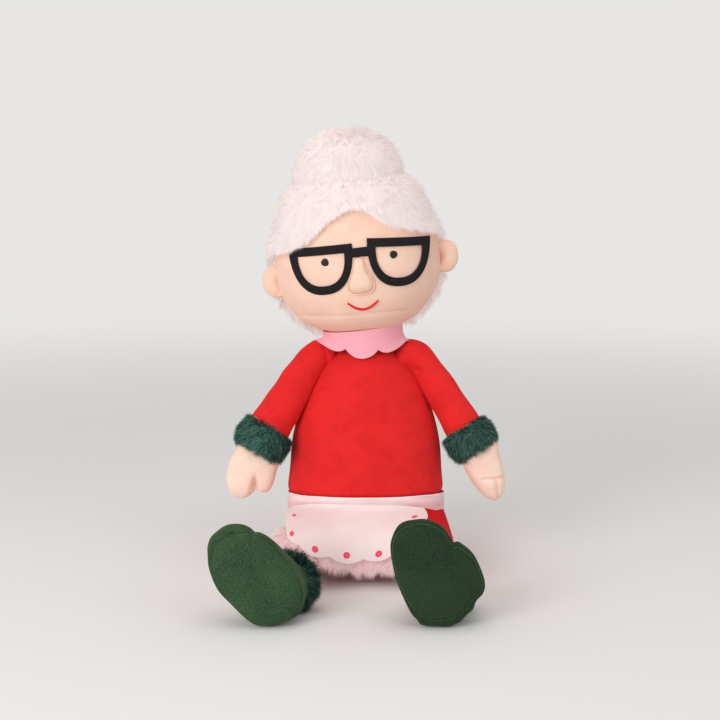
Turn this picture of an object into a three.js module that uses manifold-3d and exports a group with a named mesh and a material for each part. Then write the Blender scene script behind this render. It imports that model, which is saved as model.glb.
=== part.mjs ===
import * as THREE from 'three';
import { mergeVertices } from 'three/addons/utils/BufferGeometryUtils.js';
import Module from 'manifold-3d';

// A seated stuffed doll of a festive grandmother, with a round hair bun and felt glasses.
// Millimetres, +Z up, the face looks along -Y.
// The origin is the middle of the flat panel that the doll sits on.

// Clearances
const seamGap = 0.3; // between pieces that are sewn or rest together
const swingGap = 1.4; // between a limb and what it swings past
const flattening = 0.5; // how deep a stuffed form is pressed flat where it meets the floor
const past = 500; // a length past the whole doll, for what cuts it

// Seat
const panelThickness = 1.5;
const panelMargin = 6; // how far the panel's edge lies inside the seat's edge
const seatFootHalfWidth = 62;
const seatFootHalfDepth = 43;
const pocketHalfWidth = 32;
const pocketHalfDepth = 25;
const pocketHeight = 30;

// Dress body
const waistHeight = 60;
const waistHalfWidth = 69.5;
const waistHalfDepth = 47;
const chestHeight = 123;
const chestHalfWidth = 67.5;
const chestHalfDepth = 46;
const ribHeight = 152;
const ribHalfWidth = 60;
const ribHalfDepth = 41;
const armpitHeight = 182;
const armpitHalfWidth = 49;
const armpitHalfDepth = 35;
const shoulderTopHeight = 201;
const shoulderTopHalfWidth = 33;
const shoulderTopHalfDepth = 28;
const shoulderDome = 7;
const bodyBack = -4; // where the body's middle lies at the waist
const bodyLean = THREE.MathUtils.degToRad(3.5);

// Neck and head
const neckHeight = shoulderTopHeight + 6;
const neckRadius = 20;
const headRoll = THREE.MathUtils.degToRad(6.5);
const headLift = 73; // head's middle above the neck's middle
const headForward = 4;
const skullHalfWidth = 75;
const skullHalfDepth = 62;
const skullUp = 74;
const skullDown = 66;
const skullPower = 2.3; // 2 is an ellipse, more is boxier

// Hair
const hairSide = 3.4;
const hairCrown = 15;
const hairNape = 14; // height of the hair's lower edge above the neck's middle
const hairEdgeDepth = 6; // how far in front of the head's middle the hair stops
const hairPeak = headLift + 49;
const hairPart = 4; // where the parting lies across the face
const hairline = [ // from the peak to the temple: how far across, and how far below the peak
  [0, 0], [12, 4], [21, 12], [29, 19], [40, 19], [58, 24], [2 * skullHalfWidth, 29],
];
const bunHalfWidth = 49;
const bunHalfDepth = 44;
const bunHalfHeight = 40;
const bunLift = headLift + skullUp + 3;

// Ears
const earReach = skullHalfWidth + 4;
const earHeight = headLift - 7;
const earHalfWidth = 12;
const earHalfHeight = 14.5;
const earHalfDepth = 5.5;
const earForward = 10;

// Face, measured across the face from its own middle
const faceShift = 3;
const eyeSpread = 30;
const eyeHeight = headLift + 5;
const eyeRadius = 3.4;
const eyeThickness = 1;
const lensSpread = 33;
const lensTop = headLift + 19;
const lensHalfWidth = 27.5;
const lensDrop = 42;
const lensRim = 8;
const lensPower = 2.5;
const feltThickness = 1.8;
const faceGap = 0.55; // between the round face and what is stitched on it
const bridgeTop = lensTop - 3.6;
const bridgeBottom = bridgeTop - 8.2;
const noseTop = bridgeBottom - 1.2;
const noseBottom = noseTop - 32;
const noseHalfWidth = 12;
const noseRound = 8; // height of the nose's round lower edge
const noseLift = 3.6;
const mouthHalfWidth = 13.2;
const mouthHeight = noseBottom - 6.5;
const mouthSag = 7;
const mouthThread = 1;

// Arms
const shoulderSpread = 46;
const shoulderHeight = shoulderTopHeight - 8;
const sleeveRootRadius = 14.5;
const sleeveMidHalfWidth = 14.8;
const sleeveEndHalfWidth = 15.8;
const wristHalfWidth = 12.5;
const wristOut = 25; // how far the wrist hangs outside the waist
const wristHeight = 119;
const wristForward = 20;
const cuffLength = 19;
const cuffSwell = 6;
const handLength = 55;
const handOut = 18;
const palmHalfWidth = 15;
const palmHalfDepth = 10.5;
const thumbRadius = 7;
const thumbLength = 30;
const thumbRoot = 0.42; // where on the hand's length the thumb begins

// Legs
const hipSpread = 52;
const hipHeight = 20;
const hipForward = 46;
const legRadius = 14;
const ankleRadius = 13;
const ankleCuffLength = 15;
const ankleCuffSwell = 6;

// Shoes. Each foot has its own sole middle and lean.
const soleHalfLength = 46;
const soleHalfWidth = 31;
const soleDome = 4;
const soleEdge = 3;
const shoeHeight = 42;
const shoeBulge = 1.5;
const instepNotch = 8;
const feet = { // the ankle sits so far inwards and towards the heel from the sole's middle
  left: { across: -89, forward: 205, lean: THREE.MathUtils.degToRad(28.6), ankleSide: 12, ankleHeel: 28 },
  right: { across: 56.4, forward: 205, lean: THREE.MathUtils.degToRad(11), ankleSide: 4, ankleHeel: 22.5 },
};

// Skirt, apron, ribbon and collar
const clothThickness = 1.2;
const skirtHalfWidth = 86;
const skirtFront = 62;
const hemHeight = 5;
const hemSideHeight = 12;
const lapReach = 14; // how far the hem goes forward over a thigh
const lapRise = 7; // how high the hem lies above a thigh
const lapEase = 10; // how far from a thigh the cloth starts to climb
const skirtFolds = 14;
const clothTurns = 72; // points round the skirt and what is sewn to it
const foldDepth = 2;
const hemFurHeight = 15;
const hemFurDepth = 8;
const waistHug = 9.5; // how far down the skirt stays tight under the ribbon
const apronThickness = 1;
const apronHalfColumns = 12; // of the skirt's own columns, to each side of the front
const apronDrop = 0.8; // share of the skirt's drop that the apron covers
const apronScallop = 0.06;
const apronScallops = 5;
const ribbonWidth = 15.5;
const ribbonThickness = 1;
const waistTilt = 0.1; // how much the ribbon rises towards the front
const collarThickness = 1.4;
const collarTopRadius = 21;
const collarTopHeight = neckHeight + 5;
const collarFrontHeight = neckHeight - 11;
const collarSideHeight = neckHeight + 0.9;
const collarFrontReach = 35;
const collarSideReach = 44;
const collarScallops = 8;
const collarScallopDepth = 4;

const colours = {
  dress: 0xe52626, skirt: 0xc81c20, fill: 0xf4f0ea, panel: 0xd02024, skin: 0xfcd5bf, hair: 0xf5e8e6,
  black: 0x1c191b, mouth: 0xd81822, collar: 0xffb2c0, cuff: 0x2a4a40, hand: 0xfddcc8, apron: 0xf3e4e2,
  ribbon: 0xfdd6d6, hemFur: 0xf8dcdc, tights: 0xf7e4e4, shoe: 0x2f5a36, sole: 0x355f3b,
};

const wasm = await Module();
wasm.setup();

// Geometry helpers

function point(x, y, z) {
  return new THREE.Vector3(x, y, z);
}

function smooth(value, low, high) {
  return THREE.MathUtils.smoothstep(value, low, high);
}

function turns(count) {
  return Array.from({ length: count }, (_, i) => (i / count) * Math.PI * 2);
}

function rounded(value, power) {
  return Math.sign(value) * Math.abs(value) ** (2 / power);
}

// Joins rings of points into one closed body. An end is an apex point, or closes flat when it has none.
// A loop's last ring joins its first. In a sheet the second half of each ring lies behind the first half,
// and both faces are split along the same diagonals.
function skinRings(rings, { start, end, loop = false, sheet = false } = {}) {
  const sides = rings[0].length;
  const points = rings.flat();
  const index = [];
  const spans = loop ? rings.length : rings.length - 1;
  for (let i = 0; i < spans; i += 1) {
    const here = i * sides;
    const next = ((i + 1) % rings.length) * sides;
    for (let j = 0; j < sides; j += 1) {
      const k = (j + 1) % sides;
      if (sheet && 2 * j >= sides) index.push(here + j, here + k, next + j, here + k, next + k, next + j);
      else index.push(here + j, here + k, next + k, here + j, next + k, next + j);
    }
  }
  if (!loop) {
    const middle = (ring) => ring.reduce((sum, p) => sum.add(p), point(0, 0, 0)).divideScalar(sides);
    points.push(start ?? middle(rings[0]), end ?? middle(rings.at(-1)));
    const last = (rings.length - 1) * sides;
    for (let j = 0; j < sides; j += 1) {
      const k = (j + 1) % sides;
      index.push(points.length - 2, k, j, points.length - 1, last + j, last + k);
    }
  }
  const geometry = new THREE.BufferGeometry().setFromPoints(points);
  geometry.setIndex(index);
  return facedOut(geometry);
}

function facedOut(geometry) {
  const { array } = geometry.attributes.position;
  const corner = (i) => point(array[3 * i], array[3 * i + 1], array[3 * i + 2]);
  const index = Array.from(geometry.index.array);
  let volume = 0;
  for (let i = 0; i < index.length; i += 3) {
    volume += corner(index[i]).dot(corner(index[i + 1]).cross(corner(index[i + 2])));
  }
  if (volume < 0) index.reverse();
  geometry.setIndex(index);
  geometry.computeVertexNormals();
  return geometry;
}

function solid(geometry) {
  const bare = geometry.clone();
  bare.deleteAttribute('normal');
  bare.deleteAttribute('uv');
  const merged = mergeVertices(bare, 1e-4);
  return new wasm.Manifold(new wasm.Mesh({
    numProp: 3,
    vertProperties: new Float32Array(merged.attributes.position.array),
    triVerts: new Uint32Array(merged.index.array),
  }));
}

function shape(manifold) {
  const mesh = manifold.getMesh();
  const geometry = new THREE.BufferGeometry();
  geometry.setAttribute('position', new THREE.BufferAttribute(mesh.vertProperties, 3));
  geometry.setIndex(new THREE.BufferAttribute(mesh.triVerts, 1));
  geometry.computeVertexNormals();
  return geometry;
}

function cut(geometry, ...cutters) {
  return shape(cutters.reduce((rest, cutter) => rest.subtract(solid(cutter)), solid(geometry)));
}

function block(low, high) {
  const size = high.clone().sub(low);
  const box = new THREE.BoxGeometry(size.x, size.y, size.z);
  const middle = low.clone().add(high).divideScalar(2);
  return box.translate(middle.x, middle.y, middle.z);
}

// A stuffed ball: wide along X, deep along Y, with its own height above and below its middle.
function ball({ middle, wide, deep, up, down = up, power = 2, sides = 24, rows = 14, grow = 0 }) {
  const rings = [];
  for (let i = 1; i < rows; i += 1) {
    const polar = (i / rows) * Math.PI;
    const level = rounded(Math.cos(polar), power);
    const spread = Math.sin(polar) ** (2 / power);
    const height = level * ((level > 0 ? up : down) + grow);
    rings.push(turns(sides).map((turn) => point(
      middle.x + Math.cos(turn) * spread * (wide + grow),
      middle.y + Math.sin(turn) * spread * (deep + grow),
      middle.z + height,
    )));
  }
  return skinRings(rings, {
    start: middle.clone().add(point(0, 0, up + grow)),
    end: middle.clone().add(point(0, 0, -down - grow)),
  });
}

// A stuffed limb along a path. Stations give its half widths at distances from the start.
// A round end is a dome as long as its number says, and an end without one is flat.
// Its rings are square to the path, or to facing where that is given.
function limb({ path, across, facing, stations, roundStart = 0, roundEnd = 0, sides = 16, steps = 6 }) {
  const length = path.getLength();
  const widths = new THREE.CubicInterpolant(
    stations.map((s) => s.along * length),
    stations.flatMap((s) => [s.wide, s.deep]),
    2,
  );
  const domeSteps = 4;
  const dome = (i) => 1 - Math.cos((i / domeSteps) * Math.PI / 2);
  const distances = [];
  for (let i = 1; roundStart && i < domeSteps; i += 1) distances.push(roundStart * dome(i));
  for (let i = 0; i <= steps; i += 1) {
    distances.push(THREE.MathUtils.lerp(roundStart, length - roundEnd, i / steps));
  }
  for (let i = domeSteps - 1; roundEnd && i > 0; i -= 1) distances.push(length - roundEnd * dome(i));
  const rings = distances.map((distance) => {
    const along = facing ?? path.getTangentAt(distance / length);
    const centre = path.getPointAt(distance / length);
    const wideAxis = across.clone().addScaledVector(along, -across.dot(along)).normalize();
    const deepAxis = along.clone().cross(wideAxis);
    const [wide, deep] = widths.evaluate(distance);
    const shrink = Math.min(domeShare(distance, roundStart), domeShare(length - distance, roundEnd));
    return turns(sides).map((turn) => centre.clone()
      .addScaledVector(wideAxis, Math.cos(turn) * wide * shrink)
      .addScaledVector(deepAxis, Math.sin(turn) * deep * shrink));
  });
  return skinRings(rings, {
    start: roundStart ? path.getPointAt(0) : undefined,
    end: roundEnd ? path.getPointAt(1) : undefined,
  });
}

function domeShare(distance, reach) {
  return distance >= reach ? 1 : Math.sqrt(1 - (1 - distance / reach) ** 2);
}

// A puffed band round a limb: a closed loop of sections, each from the inner to the outer radius.
function band({ centre, along, across, inner, swell, length, sides = 18 }) {
  const wideAxis = across.clone().addScaledVector(along, -across.dot(along)).normalize();
  const deepAxis = along.clone().cross(wideAxis);
  const section = [[-0.5, 0], [-0.46, 0.7], [0, 1], [0.46, 0.7], [0.5, 0]];
  return skinRings(turns(sides).map((turn) => section.map(([level, puff]) => {
    const radius = inner + swell * (0.25 + 0.75 * puff);
    const outward = wideAxis.clone().multiplyScalar(Math.cos(turn)).addScaledVector(deepAxis, Math.sin(turn));
    return centre.clone().addScaledVector(along, level * length).addScaledVector(outward, radius);
  }).concat([0.5, -0.5].map((level) => centre.clone()
    .addScaledVector(along, level * length)
    .addScaledVector(wideAxis, Math.cos(turn) * inner)
    .addScaledVector(deepAxis, Math.sin(turn) * inner)))), { loop: true });
}

// Scene graph

const doll = new THREE.Group();

function add(parent, name, geometry, colour, roughness = 0.9) {
  const material = new THREE.MeshStandardMaterial({ color: colour, roughness, metalness: 0 });
  const mesh = new THREE.Mesh(geometry, material);
  mesh.name = name;
  parent.add(mesh);
}

// Body: a stuffed dress form on a weighted seat

function bodyMiddle(height) {
  return bodyBack + (height - waistHeight) * Math.tan(bodyLean);
}

const neckPivot = point(0, bodyMiddle(neckHeight), neckHeight);
const waistPoint = point(0, bodyMiddle(waistHeight), waistHeight);
const panelTop = panelThickness + seamGap;

function torsoForm() {
  const rise = (height, wide, deep) => ({ height, wide, deep });
  const levels = [
    rise(waistHeight + seamGap / 2, waistHalfWidth, waistHalfDepth),
    rise(chestHeight, chestHalfWidth, chestHalfDepth),
    rise(ribHeight, ribHalfWidth, ribHalfDepth),
    rise(armpitHeight, armpitHalfWidth, armpitHalfDepth),
    rise(shoulderTopHeight, shoulderTopHalfWidth, shoulderTopHalfDepth),
  ];
  const bottom = levels[0].height;
  const top = shoulderTopHeight + shoulderDome;
  const path = new THREE.LineCurve3(point(0, bodyMiddle(bottom), bottom), point(0, bodyMiddle(top), top));
  return limb({
    path,
    across: point(1, 0, 0),
    facing: point(0, 0, 1),
    stations: levels.map((l) => ({ along: (l.height - bottom) / (top - bottom), wide: l.wide, deep: l.deep })),
    roundEnd: shoulderDome,
    sides: 28,
    steps: 10,
  });
}

// What an arm sweeps as it swings about its shoulder, from the sleeve's own inner side.
function armSweep(side) {
  const radius = sleeveRootRadius + swingGap;
  const wrist = wristPoint(side);
  const run = Math.abs(wrist.x) - shoulderSpread;
  const drop = Math.hypot(wrist.y - shoulderPoint(side).y, shoulderHeight - wrist.z);
  const slope = Math.atan2(run, drop);
  const endRun = run - (sleeveEndHalfWidth + swingGap) * Math.cos(slope);
  const endDrop = drop + sleeveEndHalfWidth * Math.sin(slope);
  const slant = Math.atan2(endRun, endDrop) + Math.asin(radius / Math.hypot(endRun, endDrop));
  const reach = drop + 2 * sleeveEndHalfWidth;
  const profile = [];
  const arcSteps = 3;
  for (let i = 0; i <= arcSteps; i += 1) {
    const turn = (i / arcSteps) * slant;
    profile.push(new THREE.Vector2(Math.sin(turn) * radius, -Math.cos(turn) * radius));
  }
  const tangent = profile.at(-1);
  profile.push(new THREE.Vector2(reach, tangent.y + (reach - tangent.x) * Math.tan(slant)));
  profile.push(new THREE.Vector2(reach, reach * 2), new THREE.Vector2(0, reach * 2));
  profile[0].x = 0;
  const lathe = new THREE.LatheGeometry(profile, 24);
  lathe.rotateZ(-side * Math.PI / 2);
  const at = shoulderPoint(side);
  return facedOut(mergeBare(lathe.translate(at.x, at.y, at.z)));
}

function mergeBare(geometry) {
  geometry.deleteAttribute('normal');
  geometry.deleteAttribute('uv');
  return mergeVertices(geometry, 1e-4);
}

function shoulderPoint(side) {
  return point(side * shoulderSpread, bodyMiddle(shoulderHeight), shoulderHeight);
}

function wristPoint(side) {
  return point(side * (waistHalfWidth + wristOut), -wristForward, wristHeight);
}

function hipPoint(side) {
  return point(side * hipSpread, -hipForward, hipHeight);
}

function neckSocket() {
  return ball({
    middle: neckPivot, wide: neckRadius, deep: neckRadius, up: neckRadius, grow: 2 * seamGap, sides: 20, rows: 12,
  });
}

add(doll, 'torso', cut(torsoForm(), armSweep(-1), armSweep(1), neckSocket()), colours.dress, 0.95);

// The seat is open in front where each thigh swings, and has a pocket under it for the weight.
function hipNotch(side) {
  const hip = hipPoint(side);
  const reach = legRadius + swingGap;
  const inner = hip.x - side * reach;
  const outer = side * (waistHalfWidth + reach);
  return block(
    point(Math.min(inner, outer), -2 * waistHalfDepth, -waistHeight),
    point(Math.max(inner, outer), hip.y + legRadius + 2 * seamGap, hip.z + 1.6 * reach),
  );
}

function seatOutline(bottom, top, inset) {
  const share = (height) => height / waistHeight;
  const ring = (height) => turns(32).map((turn) => point(
    Math.cos(turn) * (THREE.MathUtils.lerp(seatFootHalfWidth, waistHalfWidth, share(height)) - inset),
    bodyBack + Math.sin(turn) * (THREE.MathUtils.lerp(seatFootHalfDepth, waistHalfDepth, share(height)) - inset),
    height,
  ));
  return skinRings([0, 1 / 3, 2 / 3, 1].map((step) => ring(THREE.MathUtils.lerp(bottom, top, step))));
}

function pocketForm(inset, bottom, top) {
  const ring = (height, shrink) => turns(24).map((turn) => point(
    Math.cos(turn) * (pocketHalfWidth - inset) * shrink,
    Math.sin(turn) * (pocketHalfDepth - inset) * shrink,
    height,
  ));
  return skinRings([ring(bottom, inset ? 0.9 : 1), ring(THREE.MathUtils.lerp(bottom, top, 0.3), 1),
    ring(THREE.MathUtils.lerp(bottom, top, 0.75), 0.94), ring(top, 0.7)]);
}

const pocketTop = panelTop + pocketHeight;
add(doll, 'seat_body', cut(
  seatOutline(panelTop, waistHeight - seamGap / 2, 0),
  hipNotch(-1),
  hipNotch(1),
  pocketForm(0, 0, pocketTop),
), colours.fill, 0.95);
add(doll, 'pellet_bag', pocketForm(seamGap, panelTop, pocketTop - seamGap), colours.fill);
add(doll, 'base_panel', cut(
  seatOutline(0, panelThickness, panelMargin),
  hipNotch(-1),
  hipNotch(1),
), colours.panel);

// Neck: a stuffed ball that seats in the body and in the head
const headGroup = new THREE.Group();
headGroup.position.copy(neckPivot);
headGroup.rotation.y = -headRoll;
doll.add(headGroup);
add(headGroup, 'neck', ball({
  middle: point(0, 0, 0), wide: neckRadius, deep: neckRadius, up: neckRadius, sides: 16, rows: 10,
}), colours.skin);

// Head
const skull = {
  middle: point(0, -headForward, headLift),
  wide: skullHalfWidth,
  deep: skullHalfDepth,
  up: skullUp,
  down: skullDown,
  power: skullPower,
  sides: 28,
  rows: 16,
};
const headSocket = ball({
  middle: point(0, 0, 0), wide: neckRadius, deep: neckRadius, up: neckRadius, grow: 2 * seamGap, sides: 20, rows: 12,
});
add(headGroup, 'head', cut(ball(skull), headSocket), colours.skin);

// The front of the head at a place across and up the face, raised by lift.
function facePoint(x, z, lift) {
  const height = z - headLift;
  const reach = (height > 0 ? skullUp : skullDown) + lift;
  const spread = Math.max(0, 1 - Math.abs(height / reach) ** skullPower) ** (1 / skullPower);
  const across = Math.min(0.98, Math.abs(x) / (spread * (skullHalfWidth + lift)));
  const depth = Math.sqrt(1 - across ** 2) * spread * (skullHalfDepth + lift);
  return point(x, -headForward - depth, z);
}

// Hair: a deep cap with the face left open, and a round bun on the crown
const cap = { ...skull, wide: skullHalfWidth + hairSide, deep: skullHalfDepth + hairSide, up: skullUp + hairCrown };

function faceOpening() {
  const half = hairline.map(([x, drop]) => [x, hairPeak - drop]);
  const line = [...half.map(([x, z]) => [-x, z]).reverse(), ...half.slice(1)].reverse();
  line.push([-2 * skullHalfWidth, -skullDown], [2 * skullHalfWidth, -skullDown]);
  const ring = (y) => line.map(([x, z]) => point(x + hairPart, y, z));
  return skinRings([ring(-3 * skullHalfDepth), ring(-headForward - hairEdgeDepth)]);
}

const nape = block(
  point(-2 * skullHalfWidth, -2 * skullHalfDepth, -2 * skullDown),
  point(2 * skullHalfWidth, 2 * skullHalfDepth, hairNape),
);
add(headGroup, 'hair_cap', cut(ball(cap), ball({ ...skull, grow: seamGap }), faceOpening(), nape), colours.hair, 1);
add(headGroup, 'hair_bun', cut(ball({
  middle: point(1, -headForward, bunLift), wide: bunHalfWidth, deep: bunHalfDepth, up: bunHalfHeight, power: 2.3,
}), ball({ ...cap, grow: seamGap })), colours.hair, 1);

for (const [name, side] of [['ear_left', -1], ['ear_right', 1]]) {
  const ear = ball({
    middle: point(side * earReach, -headForward - earForward, earHeight),
    wide: earHalfWidth,
    deep: earHalfDepth,
    up: earHalfHeight,
    sides: 14,
    rows: 8,
  });
  const trimmed = solid(cut(ear, ball({ ...skull, grow: seamGap }), block(
    point(-2 * skullHalfWidth, -headForward - hairEdgeDepth - seamGap, 0),
    point(2 * skullHalfWidth, 2 * skullHalfDepth, 2 * headLift),
  )));
  add(headGroup, name, shape(trimmed), colours.skin);
}

// Face pieces lie on the front of the head.
function eyeForm(side) {
  const x = faceShift + side * eyeSpread;
  const ring = (share, lift) => turns(12).map((turn) => facePoint(
    x + Math.cos(turn) * eyeRadius * share,
    eyeHeight + Math.sin(turn) * eyeRadius * share,
    lift,
  ));
  return skinRings([ring(1, faceGap), ring(0.9, faceGap + eyeThickness)], {
    start: facePoint(x, eyeHeight, faceGap),
    end: facePoint(x, eyeHeight, faceGap + 1.3 * eyeThickness),
  });
}

function lensOutline(inset) {
  const corner = 10;
  const bowl = 15;
  const line = [];
  for (let i = 0; i <= bowl; i += 1) {
    const turn = (i / bowl) * Math.PI;
    line.push([
      rounded(Math.cos(turn), lensPower) * (lensHalfWidth - inset),
      lensTop - inset - Math.sin(turn) ** (2 / lensPower) * (lensDrop - 2 * inset),
    ]);
  }
  for (let i = 1; i < corner; i += 1) {
    line.push([-(lensHalfWidth - inset) * (1 - 2 * (i / corner)), lensTop - inset]);
  }
  return line;
}

function lensForm(side) {
  const middle = faceShift + side * lensSpread;
  const outer = lensOutline(0);
  const inner = lensOutline(lensRim);
  const lower = faceGap;
  const upper = faceGap + feltThickness;
  return skinRings(outer.map(([x, z], i) => [
    facePoint(middle + x, z, lower),
    facePoint(middle + x, z, upper),
    facePoint(middle + inner[i][0], inner[i][1], upper),
    facePoint(middle + inner[i][0], inner[i][1], lower),
  ]), { loop: true });
}

function bridgeForm() {
  const reach = lensSpread - lensHalfWidth + lensRim / 2;
  const rings = [-1, -0.5, 0, 0.5, 1].map((step) => {
    const x = faceShift + step * reach;
    return [
      facePoint(x, bridgeTop, faceGap),
      facePoint(x, bridgeTop, faceGap + feltThickness),
      facePoint(x, bridgeBottom, faceGap + feltThickness),
      facePoint(x, bridgeBottom, faceGap),
    ];
  });
  return skinRings(rings);
}

add(headGroup, 'eye_left', eyeForm(-1), colours.black, 0.5);
add(headGroup, 'eye_right', eyeForm(1), colours.black, 0.5);
add(headGroup, 'glasses', shape(solid(lensForm(-1)).add(solid(bridgeForm())).add(solid(lensForm(1)))), colours.black);

// A padded nose: narrow at the bridge of the glasses, round and full below
function noseForm() {
  const height = noseTop - seamGap - noseBottom;
  const low = noseBottom + noseRound;
  const outline = (share) => turns(20).map((turn) => {
    const lift = Math.sin(turn);
    const narrow = lift > 0 ? 1 - 0.72 * lift : 1;
    const z = low + lift * (lift > 0 ? height - noseRound : noseRound);
    return [Math.cos(turn) * noseHalfWidth * narrow * share, low + (z - low) * share];
  });
  const ring = (share, lift) => outline(share).map(([x, z]) => facePoint(faceShift - 1 + x, z, lift));
  return skinRings([ring(1, faceGap), ring(0.97, 0.5 * noseLift), ring(0.7, 0.9 * noseLift)], {
    start: facePoint(faceShift - 1, low, faceGap),
    end: facePoint(faceShift - 1, low, noseLift),
  });
}

function mouthForm() {
  const steps = 12;
  const rings = [];
  for (let i = 0; i <= steps; i += 1) {
    const share = (i / steps) * 2 - 1;
    const x = faceShift - 1 + share * mouthHalfWidth;
    const z = mouthHeight - mouthSag * (1 - share ** 2);
    const thick = mouthThread * (0.6 + 0.4 * (1 - share ** 2));
    rings.push([
      facePoint(x, z + thick, faceGap),
      facePoint(x, z + thick, faceGap + 0.6 * mouthThread),
      facePoint(x, z, faceGap + mouthThread),
      facePoint(x, z - thick, faceGap + 0.6 * mouthThread),
      facePoint(x, z - thick, faceGap),
    ]);
  }
  return skinRings(rings);
}

add(headGroup, 'nose', noseForm(), colours.skin);
add(headGroup, 'mouth', mouthForm(), colours.mouth, 0.6);

// Arms: a stuffed sleeve, a fur cuff round its end, and a mitten hand with a thumb
function arm(side, word) {
  const group = new THREE.Group();
  const shoulder = shoulderPoint(side);
  group.position.copy(shoulder);
  doll.add(group);
  const wrist = wristPoint(side).sub(shoulder);
  const away = wrist.clone().normalize();
  const out = point(side, 0, 0);
  const start = away.clone().addScaledVector(out, 0.25).normalize().multiplyScalar(-sleeveRootRadius);
  const bend = start.clone().multiplyScalar(-1.6);
  const sleevePath = new THREE.QuadraticBezierCurve3(start, bend, wrist);
  const cuffStart = 1 - (cuffLength / 2 + 7) / sleevePath.getLength();
  const narrow = 1 - (cuffLength / 2 + 1) / sleevePath.getLength();
  const across = point(0, 1, 0).cross(away);
  const round = (along, wide) => ({ along, wide, deep: wide * 0.96 });
  add(group, `sleeve_${word}`, limb({
    path: sleevePath,
    across,
    stations: [round(0, sleeveRootRadius), round(0.2, sleeveRootRadius), round(0.55, sleeveMidHalfWidth),
      round(cuffStart, sleeveEndHalfWidth), round(narrow, wristHalfWidth), round(1, wristHalfWidth)],
    roundStart: sleeveRootRadius,
    steps: 9,
    sides: 14,
  }), colours.dress, 0.95);
  const along = sleevePath.getTangentAt(1);
  add(group, `cuff_${word}`, band({
    centre: wrist,
    along,
    across,
    inner: wristHalfWidth + 2 * seamGap,
    swell: cuffSwell,
    length: cuffLength,
  }), colours.cuff, 1);
  const handStart = wrist.clone().addScaledVector(along, seamGap);
  const tip = handStart.clone().add(point(side * handOut, -handOut / 3, -handLength));
  const handPath = new THREE.QuadraticBezierCurve3(handStart, handStart.clone().addScaledVector(along, 18), tip);
  const flat = (share, wide, deep) => ({ along: share, wide, deep });
  const palm = limb({
    path: handPath,
    across,
    stations: [flat(0, wristHalfWidth - 1, wristHalfWidth - 2), flat(0.25, wristHalfWidth - 1, palmHalfDepth),
      flat(0.55, palmHalfWidth, palmHalfDepth), flat(1, palmHalfWidth - 2, palmHalfDepth - 2)],
    roundEnd: palmHalfWidth,
    sides: 16,
  });
  const root = handPath.getPointAt(thumbRoot);
  const inward = point(-side * 0.42, -0.2, -0.88).normalize();
  const thumb = limb({
    path: new THREE.LineCurve3(root, root.clone().addScaledVector(inward, thumbLength)),
    across,
    stations: [flat(0, thumbRadius, thumbRadius), flat(1, thumbRadius, thumbRadius * 0.95)],
    roundStart: thumbRadius,
    roundEnd: thumbRadius,
    sides: 12,
    steps: 2,
  });
  add(group, `hand_${word}`, shape(solid(palm).add(solid(thumb))), colours.hand);
}

arm(-1, 'left');
arm(1, 'right');

// Legs: a stuffed tights leg, a fur band at the ankle, and a padded shoe with its own sole
function soleOutline(halfLength, halfWidth, heelShift) {
  return turns(28).map((turn) => {
    const toe = Math.cos(turn);
    const side = Math.sin(turn);
    const notch = instepNotch * Math.exp(-(((turn - 0.62) / 0.26) ** 2));
    return [
      side * (halfWidth * (1 - 0.04 * toe) - notch * 0.5),
      toe * halfLength - heelShift - notch * 0.8,
    ];
  });
}

// A foot is as high as it must be for its heel to be pressed flat on the floor.
function shoeFrame(foot) {
  const toe = point(-Math.sin(foot.lean), 0, Math.cos(foot.lean));
  const depth = point(0, 1, 0);
  const side = point(Math.cos(foot.lean), 0, Math.sin(foot.lean));
  const reach = Math.max(...soleOutline(soleHalfLength, soleHalfWidth, 0).map(([x, z]) => -x * side.z - z * toe.z));
  const middle = point(foot.across, -foot.forward, reach - flattening);
  return (x, y, z) => middle.clone().addScaledVector(side, x).addScaledVector(depth, y).addScaledVector(toe, z);
}

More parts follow.
